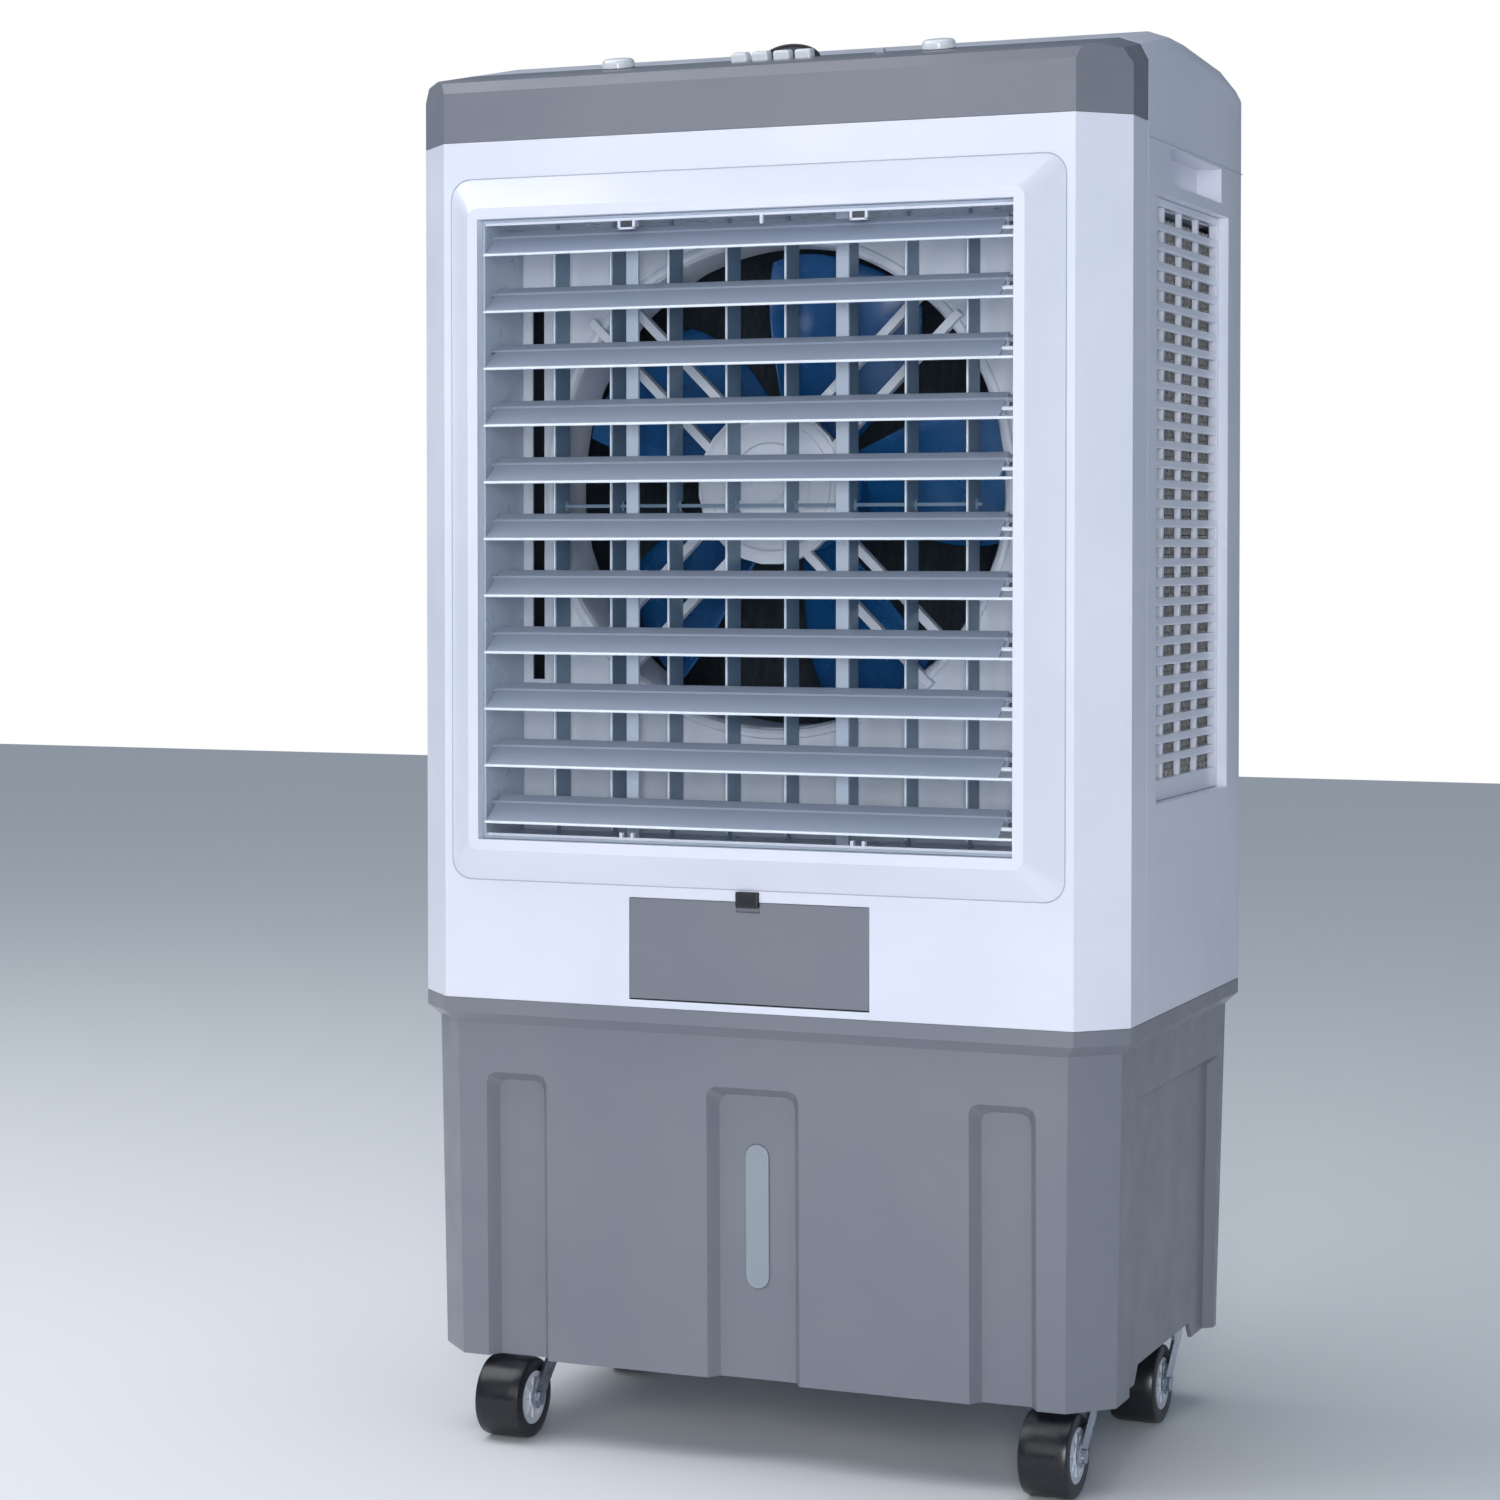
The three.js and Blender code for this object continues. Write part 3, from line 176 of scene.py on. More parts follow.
def plated(name, base, rough=(0.22, 0.42), scale=60):
    """Bright zinc or pressed steel: spangle, fine brushing and dull patches."""
    material, tree, shader, place = shader_tree(name)
    cells = tree.nodes.new("ShaderNodeTexVoronoi")
    cells.inputs["Scale"].default_value = scale * 3
    tree.links.new(place, cells.inputs["Vector"])
    tree.links.new(tint(tree, ramp(tree, cells.outputs["Color"], 0, 1, 0.2, 0.8), base, (0.78, 0.82, 0.9)),
                   shader.inputs["Base Color"])
    tree.links.new(ramp(tree, noise(tree, place, scale, 5), rough[0], rough[1]), shader.inputs["Roughness"])
    bump(tree, noise(tree, place, 500, 3), 0.2, 0.05 * MM, shader)
    shader.inputs["Metallic"].default_value = 1.0
    return material


def rubbery(name, base):
    """Hard tread: scuffed, dusty and slightly grained."""
    material, tree, shader, place = shader_tree(name)
    dust = noise(tree, place, 30, 6, 0.7)
    tree.links.new(tint(tree, ramp(tree, dust, 0, 1, 0.5, 0.8), base, (2.2, 2.15, 2.1)), shader.inputs["Base Color"])
    tree.links.new(ramp(tree, dust, 0.24, 0.42), shader.inputs["Roughness"])
    bump(tree, noise(tree, place, 220, 4), 0.25, 0.1 * MM, shader)
    return material


def cellulose(name, base):
    """Treated paper pad: fibres, darker wet patches and mineral bloom."""
    material, tree, shader, place = shader_tree(name)
    stretch = tree.nodes.new("ShaderNodeMapping")
    stretch.inputs["Scale"].default_value = (1, 1, 0.25)
    tree.links.new(place, stretch.inputs["Vector"])
    fibre = noise(tree, stretch.outputs["Vector"], 260, 6, 0.7)
    tree.links.new(tint(tree, ramp(tree, fibre, 0, 1), base, (1.7, 1.6, 1.4)), shader.inputs["Base Color"])
    bump(tree, fibre, 0.6, 0.4 * MM, shader)
    shader.inputs["Roughness"].default_value = 0.92
    return material


FINISHES = {}


def make_finishes():
    c = colours()
    FINISHES.update({
        "white_plastic": moulded("white satin plastic", tuple(c.white), coat=0.3),
        "pale_plastic": moulded("pale smooth plastic", tuple(c.pale), (0.25, 0.38), 700, 0.15),
        "grey_plastic": moulded("grey satin plastic", tuple(c.grey), (0.34, 0.46), 800, 0.35,
                                (0.9, 0.92, 0.95), 0.25),
        "louvre_plastic": moulded("louvre plastic", tuple(c.louvre), (0.34, 0.38), 900, 0.1, coat=0.1),
        # The dark slate vane colour is painted shade on the white vanes inside the outlet.
        "vane_shade_plastic": moulded("vane plastic painted shade", (0.16, 0.24, 0.33), (0.36, 0.39), 900, 0.1,
                                (0.97, 0.98, 0.98)),
        "fan_plastic": moulded("blue fan plastic", tuple(c.fan), (0.2, 0.32), 500, 0.2,
                               (0.75, 0.85, 0.95), 0.3),
        "motor_metal": plated("motor can", (0.30, 0.31, 0.33), (0.35, 0.5), 30),
        "pad_media": cellulose("cooling pad", tuple(c.pad)),
        "black_plastic": moulded("black plastic", tuple(c.black), (0.4, 0.55), 600, 0.4, (1.6, 1.6, 1.6)),
        "window_plastic": moulded("window plastic", tuple(c.window), (0.3, 0.34), 700, 0.08, (0.95, 0.97, 0.99), 0.3),
        "control_plastic": moulded("control plastic", (0.83, 0.85, 0.88), (0.22, 0.32), 700, 0.12, coat=0.3),
        "zinc_steel": plated("zinc plate", tuple(c.zinc)),
        "wheel_rubber": rubbery("wheel tread", tuple(c.tyre)),
        "hub_plastic": moulded("wheel hub plastic", (0.60, 0.62, 0.67), (0.3, 0.42), 500, 0.3),
        "seam_grey": moulded("seam shade", (0.42, 0.45, 0.52), (0.5, 0.6), 600, 0.2),
        "pin_grey": moulded("louvre pin", (0.06, 0.065, 0.08), (0.3, 0.4), 600, 0.2),
        # The pale bead colour is a painted highlight on the louvre and vane front edges and on the blade arms.
        "bright_edge": moulded("louvre bead painted highlight", (0.86, 0.90, 0.96), (0.18, 0.28), 600, 0.1, coat=0.4),
        "shroud_plastic": moulded("shroud plastic", (0.72, 0.76, 0.83), (0.4, 0.48), 700, 0.2),
        # Near-black blue core colour: painted shade deep inside the pad, seen between the sheets.
        "pad_core": cellulose("pad core painted shade", (0.05, 0.075, 0.105)),
    })


# ---- Making pieces ----
def place_piece(obj, body, slot, finish, *nodes):
    """Gives a finished piece its material and its body and hides the CAD nodes it stands for; the slot argument is not
    used.
    """
    obj.data.materials.clear()
    obj.data.materials.append(FINISHES[finish])
    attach(obj, body)
    if nodes:
        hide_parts(*nodes)
    return obj


def mesh_piece(name, bm, smooth_angle=32):
    """An object from a bmesh, with normals out and soft shading up to an angle."""
    bmesh.ops.remove_doubles(bm, verts=bm.verts, dist=0.002 * MM)
    bmesh.ops.recalc_face_normals(bm, faces=bm.faces)
    mesh = bpy.data.meshes.new(name)
    bm.to_mesh(mesh)
    bm.free()
    obj = bpy.data.objects.new(name, mesh)
    bpy.context.scene.collection.objects.link(obj)
    shade(obj, smooth_angle)
    return obj


def shade(obj, angle=32):
    obj.data.shade_smooth()
    obj.data.set_sharp_from_angle(angle=math.radians(angle))


def settle(obj):
    """Turns the modified object into a plain mesh with no modifiers."""
    evaluated = obj.evaluated_get(bpy.context.evaluated_depsgraph_get())
    mesh = bpy.data.meshes.new_from_object(evaluated)
    obj.modifiers.clear()
    obj.data = mesh
    return obj


def bevelled(obj, width, segments=2, angle=28):
    edge = obj.modifiers.new("edge", "BEVEL")
    edge.width = width
    edge.segments = segments
    edge.limit_method = "ANGLE"
    edge.angle_limit = math.radians(angle)
    weigh = obj.modifiers.new("weigh", "WEIGHTED_NORMAL")
    weigh.keep_sharp = True
    split = obj.modifiers.new("split", "TRIANGULATE")
    split.min_vertices = 5
    split.keep_custom_normals = True
    return settle(obj)


def refined(node, width, segments=2, angle=28):
    """A copy of a CAD node with merged faces and rounded edges."""
    bm = bmesh.new()
    bm.from_mesh(frame["nodes"][node].data)
    bmesh.ops.remove_doubles(bm, verts=bm.verts, dist=0.01 * MM)
    bmesh.ops.dissolve_limit(bm, angle_limit=math.radians(0.6), verts=bm.verts, edges=bm.edges)
    obj = mesh_piece(node + "_form", bm)
    return bevelled(obj, width, segments, angle)


def add_block(bm, low, high):
    """Adds a box between two corners."""
    low, high = Vector(low), Vector(high)
    size = high - low
    matrix = Matrix.Translation((low + high) / 2) @ Matrix.Diagonal((*size, 1))
    bmesh.ops.create_cube(bm, size=1, matrix=matrix)


def block_piece(name, low, high, width, segments=2):
    bm = bmesh.new()
    add_block(bm, low, high)
    return bevelled(mesh_piece(name, bm), width, segments)


AXES = {
    "x": Matrix(((0, 0, 1), (1, 0, 0), (0, 1, 0))).to_4x4(),
    "y": Matrix(((0, 1, 0), (0, 0, 1), (1, 0, 0))).to_4x4(),
    "z": Matrix.Identity(4),
}


def turned(name, profile, centre, axis="z", steps=64):
    """A solid of revolution: profile is [radius, level] pairs, closed by the axis or by itself."""
    bm = bmesh.new()
    rings = []
    for radius, level in profile:
        if radius < 1e-7:
            rings.append([bm.verts.new((0, 0, level))])
            continue
        rings.append([
            bm.verts.new((radius * math.cos(t), radius * math.sin(t), level))
            for t in (2 * math.pi * i / steps for i in range(steps))
        ])
    closed = len(rings[0]) > 1 and len(rings[-1]) > 1
    pairs = list(zip(rings, rings[1:])) + ([(rings[-1], rings[0])] if closed else [])
    for low, high in pairs:
        for i in range(steps):
            j = (i + 1) % steps
            corners = [low[i % len(low)], low[j % len(low)], high[j % len(high)], high[i % len(high)]]
            unique = list(dict.fromkeys(corners))
            if len(unique) > 2:
                bm.faces.new(unique)
    bmesh.ops.transform(bm, matrix=Matrix.Translation(centre) @ AXES[axis], verts=bm.verts)
    return mesh_piece(name, bm, 30)


# ---- Geometry Nodes that repeat a piece ----
def new_tree(name, inputs):
    tree = bpy.data.node_groups.new(name, "GeometryNodeTree")
    tree.interface.new_socket("Geometry", in_out="INPUT", socket_type="NodeSocketGeometry")
    for label, kind in inputs:
        tree.interface.new_socket(label, in_out="INPUT", socket_type=kind)
    tree.interface.new_socket("Geometry", in_out="OUTPUT", socket_type="NodeSocketGeometry")
    start = tree.nodes.new("NodeGroupInput")
    end = tree.nodes.new("NodeGroupOutput")
    return tree, start, end


def finish_tree(tree, start, end, instances):
    """Realize Instances and Set Material at the end of a tree."""
    solid = tree.nodes.new("GeometryNodeRealizeInstances")
    paint = tree.nodes.new("GeometryNodeSetMaterial")
    tree.links.new(instances, solid.inputs[0])
    tree.links.new(solid.outputs[0], paint.inputs["Geometry"])
    tree.links.new(start.outputs["Material"], paint.inputs["Material"])
    tree.links.new(paint.outputs[0], end.inputs[0])
    return tree


def line_tree():
    """Copies its geometry along a straight line."""
    tree, start, end = new_tree("Repeat along a line", [
        ("Count", "NodeSocketInt"), ("Step", "NodeSocketVector"), ("Material", "NodeSocketMaterial")])
    line = tree.nodes.new("GeometryNodeMeshLine")
    place = tree.nodes.new("GeometryNodeInstanceOnPoints")
    tree.links.new(start.outputs["Count"], line.inputs["Count"])
    tree.links.new(start.outputs["Step"], line.inputs["Offset"])
    tree.links.new(line.outputs[0], place.inputs["Points"])
    tree.links.new(start.outputs["Geometry"], place.inputs["Instance"])
    return finish_tree(tree, start, end, place.outputs[0])


def ring_tree():
    """Copies its geometry round an axis through a centre."""
    tree, start, end = new_tree("Repeat round an axis", [
        ("Count", "NodeSocketInt"), ("Centre", "NodeSocketVector"), ("Axis", "NodeSocketVector"),
        ("Material", "NodeSocketMaterial")])
    line = tree.nodes.new("GeometryNodeMeshLine")
    place = tree.nodes.new("GeometryNodeInstanceOnPoints")
    index = tree.nodes.new("GeometryNodeInputIndex")
    share = tree.nodes.new("ShaderNodeMath")
    share.operation = "DIVIDE"
    turn = tree.nodes.new("ShaderNodeMath")
    turn.operation = "MULTIPLY"
    turn.inputs[1].default_value = 2 * math.pi
    spin = tree.nodes.new("FunctionNodeAxisAngleToRotation")
    line.inputs["Offset"].default_value = (0, 0, 0)
    link = tree.links.new
    link(start.outputs["Count"], line.inputs["Count"])
    link(start.outputs["Centre"], line.inputs["Start Location"])
    link(index.outputs[0], share.inputs[0])
    link(start.outputs["Count"], share.inputs[1])
    link(share.outputs[0], turn.inputs[0])
    link(turn.outputs[0], spin.inputs["Angle"])
    link(start.outputs["Axis"], spin.inputs["Axis"])
    link(line.outputs[0], place.inputs["Points"])
    link(start.outputs["Geometry"], place.inputs["Instance"])
    link(spin.outputs[0], place.inputs["Rotation"])
    return finish_tree(tree, start, end, place.outputs[0])


TREES = {}


def repeated(obj, tree_name, finish, **values):
    """Runs a repeating tree on a unit piece and keeps the result as a plain mesh."""
    if tree_name not in TREES:
        TREES[tree_name] = {"line": line_tree, "ring": ring_tree}[tree_name]()
    tree = TREES[tree_name]
    modifier = obj.modifiers.new("repeat", "NODES")
    modifier.node_group = tree
    sockets = {item.name: item.identifier for item in tree.interface.items_tree if item.in_out == "INPUT"}
    for label, value in values.items():
        modifier[sockets[label]] = value
    modifier[sockets["Material"]] = FINISHES[finish]
    return settle(obj)


# ---- The pieces ----
LOUVRE_NODES = sorted(n for n in frame["nodes"] if n.startswith("louvre_") and n[-1].isdigit())
VANE_NODES = sorted(n for n in frame["nodes"] if n.startswith("vane_") and n[-1].isdigit())
CORNERS = ("front_left", "front_right", "rear_left", "rear_right")
JOINTS = {j["name"]: j for j in frame["record"]["behaviour"]["joints"]}
CLIP_PLACES = (-113 * MM, 111 * MM)  # where the clips hold the two upright bars
BEZEL_BAND = 39.9 * MM  # outlet's edge to the bezel's outline
LOUVRE_DROOP = math.radians(37)  # blades at rest, front edge down
BEAD_REACH = 27.4 * MM  # louvre pivot to its front bead
BLADE_ROOT, BLADE_TIP = 57, 213  # fan blade radii in millimetres
HUB_RADIUS = 62 * MM
ORIFICE_RADIUS = 222 * MM
WHEEL_RADIUS = 37.5 * MM
ARCH_STEPS = 16


def rounded_loop(half_u, half_v, radius, centre, steps=8):
    """Points of a rounded rectangle in the XZ plane."""
    points = []
    for sign_u, sign_v, start in ((1, -1, -90), (1, 1, 0), (-1, 1, 90), (-1, -1, 180)):
        for i in range(steps + 1):
            turn = math.radians(start + 90 * i / steps)
            points.append((
                centre[0] + sign_u * (half_u - radius) + radius * math.cos(turn),
                centre[1] + sign_v * (half_v - radius) + radius * math.sin(turn)))
    return points


def bead(name, points, radius, closed=True):
    """A round bead along a path, as a mesh."""
    curve = bpy.data.curves.new(name, "CURVE")
    curve.dimensions = "3D"
    curve.bevel_depth = radius
    curve.bevel_resolution = 3
    spline = curve.splines.new("POLY")
    spline.points.add(len(points) - 1)
    for point, place in zip(spline.points, points):
        point.co = (*place, 1)
    spline.use_cyclic_u = closed
    curve.use_fill_caps = True
    obj = bpy.data.objects.new(name, curve)
    bpy.context.scene.collection.objects.link(obj)
    mesh = bpy.data.meshes.new_from_object(obj.evaluated_get(bpy.context.evaluated_depsgraph_get()))
    bpy.data.objects.remove(obj)
    piece = bpy.data.objects.new(name, mesh)
    bpy.context.scene.collection.objects.link(piece)
    shade(piece, 40)
    return piece


class COOLER_OT_shells(bpy.types.Operator):
    """Front panel, rear housing and top cover with rounded edges, seams and screws"""
    bl_idname = "cooler.shells"
    bl_label = "Body shells"
    bl_options = {"REGISTER", "UNDO"}

    def execute(self, context):
        edge = sizes().shell_edge
        for node, finish in (("front_panel", "white_plastic"), ("rear_housing", "white_plastic"),
                             ("top_cover", "grey_plastic")):
            shell = refined(node, edge, 3)
            place_piece(shell, "housing", finish, finish, node)
        self.bezel_seam()
        self.side_seams()
        self.back_screws()
        return {"FINISHED"}

    def side_seams(self):
        """Fine level line above each carrying recess: a grey bead that paints the shade in the seam."""
        low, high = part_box("rear_housing")
        for side in (-1, 1):
            x, z = side * (high.x - 0.2 * MM), high.z - 106 * MM
            line = bead(f"side_seam_{'left' if side < 0 else 'right'}",
                        [(x, low.y + 1 * MM, z), (x, high.y - 40 * MM, z)], 0.5 * MM, closed=False)
            place_piece(line, "housing", "white_plastic", "seam_grey")

    def bezel_seam(self):
        """Fine reveal line where the bezel meets the front panel: a grey bead that paints the shade in the gap."""
        low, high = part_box("louvre_frame")
        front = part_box("fill_door")[0].y
        centre = (0.0, (low.z + high.z) / 2)
        loop = rounded_loop(high.x + BEZEL_BAND, (high.z - low.z) / 2 + BEZEL_BAND, 19 * MM, centre)
        seam = bead("bezel_seam", [(x, front, z) for x, z in loop], 0.55 * MM)
        place_piece(seam, "housing", "pale_plastic", "seam_grey")

    def back_screws(self):
        """A row of screws down each side of the back."""
        low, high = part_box("rear_housing")
        for side in (-1, 1):
            head = turned(f"back_screws_{'left' if side < 0 else 'right'}",
                          screw_profile(3.6 * MM), (side * (high.x - 34 * MM), high.y - 0.9 * MM, low.z + 30 * MM),
                          "y", 20)
            repeated(head, "line", "zinc_steel", Count=5, Step=(0, 0, 182 * MM))
            place_piece(head, "housing", "zinc_steel", "zinc_steel")


def screw_profile(radius):
    """Half section of a flush domed screw head with a driver recess."""
    return [(0, -2 * MM), (radius, -2 * MM), (radius, 0), (radius * 0.92, 0.45 * MM),
            (radius * 0.55, 0.8 * MM), (radius * 0.42, 0.8 * MM), (radius * 0.3, -0.3 * MM), (0, -0.5 * MM)]


def on_deck(obj, joint):
    """Lays a piece drawn upright at the origin onto the sloping deck at a joint."""
    place = Vector(JOINTS[joint]["pos_m"])
    up = Vector(JOINTS[joint]["axis"]).normalized()
    turn = Vector((0, 0, 1)).rotation_difference(up).to_matrix().to_4x4()
    obj.data.transform(Matrix.Translation(place) @ turn)
    return obj


class COOLER_OT_controls(bpy.types.Operator):
    """Two ridged rotary knobs, four push buttons and their dark indicator"""
    bl_idname = "cooler.controls"
    bl_label = "Controls"
    bl_options = {"REGISTER", "UNDO"}

    def execute(self, context):
        radius, height = 15 * MM, 9.5 * MM
        for n in (1, 2):
            node, joint = f"knob_{n}", f"knob_{n}_turn"
            cap = turned(node + "_cap", [
                (0, -8 * MM), (2.8 * MM, -8 * MM), (2.8 * MM, 0.4 * MM), (radius * 0.95, 0.4 * MM),
                (radius, 1.2 * MM), (radius, height * 0.55), (radius * 0.97, height * 0.74),
                (radius * 0.88, height * 0.89), (radius * 0.74, height * 0.97), (radius * 0.5, height), (0, height)],
                (0, 0, 0))
            place_piece(on_deck(cap, joint), node, "control_plastic", "control_plastic", node)
            ridge = block_piece(node + "_ridges", (radius * 0.93, -0.45 * MM, 1.0 * MM),
                                (radius * 1.012, 0.45 * MM, height * 0.55), 0.25 * MM, 1)
            repeated(ridge, "ring", "control_plastic", Count=sizes().knob_ridges, Centre=(0, 0, 0), Axis=(0, 0, 1))
            place_piece(on_deck(ridge, joint), node, "control_plastic", "control_plastic")
            mark = block_piece(node + "_mark", (-0.8 * MM, -radius * 0.6, height - 0.8 * MM),
                               (0.8 * MM, radius * 0.1, height + 0.05 * MM), 0.2 * MM, 1)
            place_piece(on_deck(mark, joint), node, "control_plastic", "seam_grey")
        for n in range(1, 5):
            node = f"button_{n}"
            key = refined(node, 2.6 * MM, 5)
            place_piece(key, node, "control_plastic", "control_plastic", node)
        self.indicator()
        return {"FINISHED"}

    def indicator(self):
        """Small dark hood behind the two right-hand buttons, and a dark stop to their right."""
        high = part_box("button_4")[1]
        middle = Vector((13 * MM, high.y + 5 * MM, high.z - 8 * MM))
        arch = []
        for i in range(ARCH_STEPS + 1):
            turn = math.pi * i / ARCH_STEPS
            arch.append(middle + Vector((27 * MM * math.cos(turn), 0, 12.5 * MM * math.sin(turn))))
        hood = bead("indicator_hood", arch, 1.6 * MM, closed=False)
        place_piece(hood, "housing", "black_plastic", "black_plastic")
        bm = bmesh.new()
        rim = [[bm.verts.new(point + Vector((0, offset, 0))) for point in arch] for offset in (-0.6 * MM, 0.6 * MM)]
        bm.faces.new(rim[0])
        bm.faces.new(rim[1][::-1])
        for i in range(len(arch)):
            j = (i + 1) % len(arch)
            bm.faces.new((rim[0][i], rim[1][i], rim[1][j], rim[0][j]))
        place_piece(mesh_piece("indicator_window", bm), "housing", "black_plastic", "pin_grey")
        stop = block_piece("deck_stop", (95 * MM, high.y + 2 * MM, high.z - 8 * MM),
                           (104 * MM, high.y + 7 * MM, high.z - 2.6 * MM), 1.2 * MM)
        place_piece(stop, "housing", "black_plastic", "seam_grey")


class COOLER_OT_fill_door(bpy.types.Operator):
    """Grey fill door with its hinge knuckles and black latch"""
    bl_idname = "cooler.fill_door"
    bl_label = "Fill door"
    bl_options = {"REGISTER", "UNDO"}

    def execute(self, context):
        door = refined("fill_door", 1.1 * MM, 3)
        place_piece(door, "fill_door", "grey_plastic", "grey_plastic", "fill_door")
        latch = refined("door_latch", 1.2 * MM, 3)
        place_piece(latch, "door_latch", "black_plastic", "black_plastic", "door_latch")
        low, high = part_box("door_latch")
        rib = block_piece("door_latch_ribs", (low.x + 3 * MM, low.y - 0.7 * MM, low.z + 3 * MM),
                          (high.x - 3 * MM, low.y + 0.6 * MM, low.z + 4 * MM), 0.3 * MM, 1)
        repeated(rib, "line", "black_plastic", Count=4, Step=(0, 0, 2.3 * MM))
        place_piece(rib, "door_latch", "black_plastic", "black_plastic")
        return {"FINISHED"}


class COOLER_OT_louvres(bpy.types.Operator):
    """Louvre blades with front beads whose pale colour is painted highlight, their link and frame with its rails and
    clips
    """
    bl_idname = "cooler.louvres"
    bl_label = "Louvres"
    bl_options = {"REGISTER", "UNDO"}

    def execute(self, context):
        for node in LOUVRE_NODES:
            blade = refined(node, 0.35 * MM, 2)
            place_piece(blade, node, "louvre_plastic", "louvre_plastic", node)
            self.add_highlight_bead(node)
        link = refined("louvre_link", 0.4 * MM, 1)
        place_piece(link, "louvre_link", "pale_plastic", "pale_plastic", "louvre_link")
        casing = refined("louvre_frame", 0.5 * MM, 2)
        place_piece(casing, "housing", "pale_plastic", "pale_plastic", "louvre_frame")
        self.rails()
        return {"FINISHED"}

    def add_highlight_bead(self, node):
        """Rounded edge along the front of a blade, coloured pale as a painted highlight."""
        pivot = Vector(JOINTS[node + "_tilt"]["pos_m"])
        y = pivot.y - BEAD_REACH * math.cos(LOUVRE_DROOP)
        z = pivot.z - BEAD_REACH * math.sin(LOUVRE_DROOP)
        low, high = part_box(node)
        left, right = low.x + 4 * MM, high.x - 0.3 * MM
        edge = turned(node + "_edge", [(0, left), (1.0 * MM, left), (1.3 * MM, left + 0.4 * MM),
                                       (1.3 * MM, right - 0.4 * MM), (1.0 * MM, right), (0, right)], (0, y, z), "x", 12)
        place_piece(edge, node, "louvre_plastic", "bright_edge")
        self.hook(node, pivot, right)

    def hook(self, node, pivot, right):
        """Arm in the pale painted-highlight colour and dark pin at the right-hand end of a blade."""
        def on_blade(bm):
            bmesh.ops.rotate(bm, matrix=Matrix.Rotation(LOUVRE_DROOP, 3, "X"), verts=bm.verts)
            bmesh.ops.translate(bm, vec=pivot, verts=bm.verts)
        bm = bmesh.new()
        add_block(bm, (right - 13 * MM, -17 * MM, 0), (right, -13.6 * MM, 2.4 * MM))
        on_blade(bm)
        place_piece(bevelled(mesh_piece(node + "_arm", bm), 0.5 * MM, 2), node, "louvre_plastic", "bright_edge")
        bm = bmesh.new()
        add_block(bm, (right - 8 * MM, -12 * MM, 0), (right - 1 * MM, -7 * MM, 2.6 * MM))
        on_blade(bm)
        place_piece(bevelled(mesh_piece(node + "_pin", bm), 1.2 * MM, 3), node, "louvre_plastic", "pin_grey")

    def rails(self):
        """Rails along the frame's top and bottom, their stops and the two clips."""
        low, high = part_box("louvre_frame")
        inner = 2.4 * MM
        half = high.x - inner
        bm = bmesh.new()
        add_block(bm, (-half, low.y + 1 * MM, high.z - inner - 2.6 * MM), (half, low.y + 4 * MM, high.z - inner))
        add_block(bm, (-half, low.y + 1 * MM, low.z + inner), (half, low.y + 4 * MM, low.z + inner + 2.6 * MM))
        for x in CLIP_PLACES:
            for side in (-7 * MM, 4 * MM):
                add_block(bm, (x + side, low.y + 0.4 * MM, low.z + inner),
                          (x + side + 3 * MM, low.y + 6 * MM, low.z + inner + 7 * MM))
        add_block(bm, (17.6 * MM, low.y + 0.4 * MM, high.z - inner - 10 * MM),
                  (20.4 * MM, low.y + 4 * MM, high.z - inner))
        for x in CLIP_PLACES:
            self.clip(x, high.z - inner, low.y + 1.2 * MM)
        rails = bevelled(mesh_piece("louvre_rails", bm), 0.35 * MM, 2)
        place_piece(rails, "housing", "pale_plastic", "white_plastic")

    def clip(self, x, top, front):
        """U-shaped clip that holds an upright bar at the top of the frame."""
        bm = bmesh.new()
        for side in (-1, 1):
            edges = sorted((x + side * 6 * MM, x + side * 8.4 * MM))
            add_block(bm, (edges[0], front, top - 10 * MM), (edges[1], front + 3 * MM, top))
        add_block(bm, (x - 8.4 * MM, front, top - 10.4 * MM), (x + 8.4 * MM, front + 3 * MM, top - 8.4 * MM))
        name = f"frame_clip_{'left' if x < 0 else 'right'}"
        place_piece(bevelled(mesh_piece(name, bm), 0.3 * MM, 1), "housing", "pale_plastic", "white_plastic")
        # The near-black slab inside the U is painted shade in the clip's opening.
        core = block_piece(name + "_core", (x - 5.8 * MM, front + 1.4 * MM, top - 8.2 * MM),
                           (x + 5.8 * MM, front + 3 * MM, top), 0.3 * MM, 1)
        place_piece(core, "housing", "pale_plastic", "pin_grey")


class COOLER_OT_vanes(bpy.types.Operator):
    """Upright vanes coloured dark slate as painted shade, with front beads whose pale colour is painted highlight, and
    their link bar
    """
    bl_idname = "cooler.vanes"
    bl_label = "Vanes"
    bl_options = {"REGISTER", "UNDO"}

    def execute(self, context):
        for node in VANE_NODES:
            blade = refined(node, 0.4 * MM, 2)
            place_piece(blade, node, "pale_plastic", "vane_shade_plastic", node)
            self.add_highlight_bead(node)
        link = refined("vane_link", 0.5 * MM, 1)
        place_piece(link, "vane_link", "pale_plastic", "vane_shade_plastic", "vane_link")
        return {"FINISHED"}

    def add_highlight_bead(self, node):
        """Rounded edge along the front of an upright vane, coloured pale as a painted highlight."""
        low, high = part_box(node)
        x = JOINTS[node + "_swing"]["pos_m"][0]
        half = (high.z - low.z) / 2 - 8 * MM
        edge = turned(node + "_edge", [(0, -half), (0.9 * MM, -half), (1.2 * MM, -half + 0.4 * MM),
                                       (1.2 * MM, half - 0.4 * MM), (0.9 * MM, half), (0, half)],
                      (x, low.y + 1.0 * MM, (low.z + high.z) / 2), "z", 12)
        place_piece(edge, node, "pale_plastic", "bright_edge")


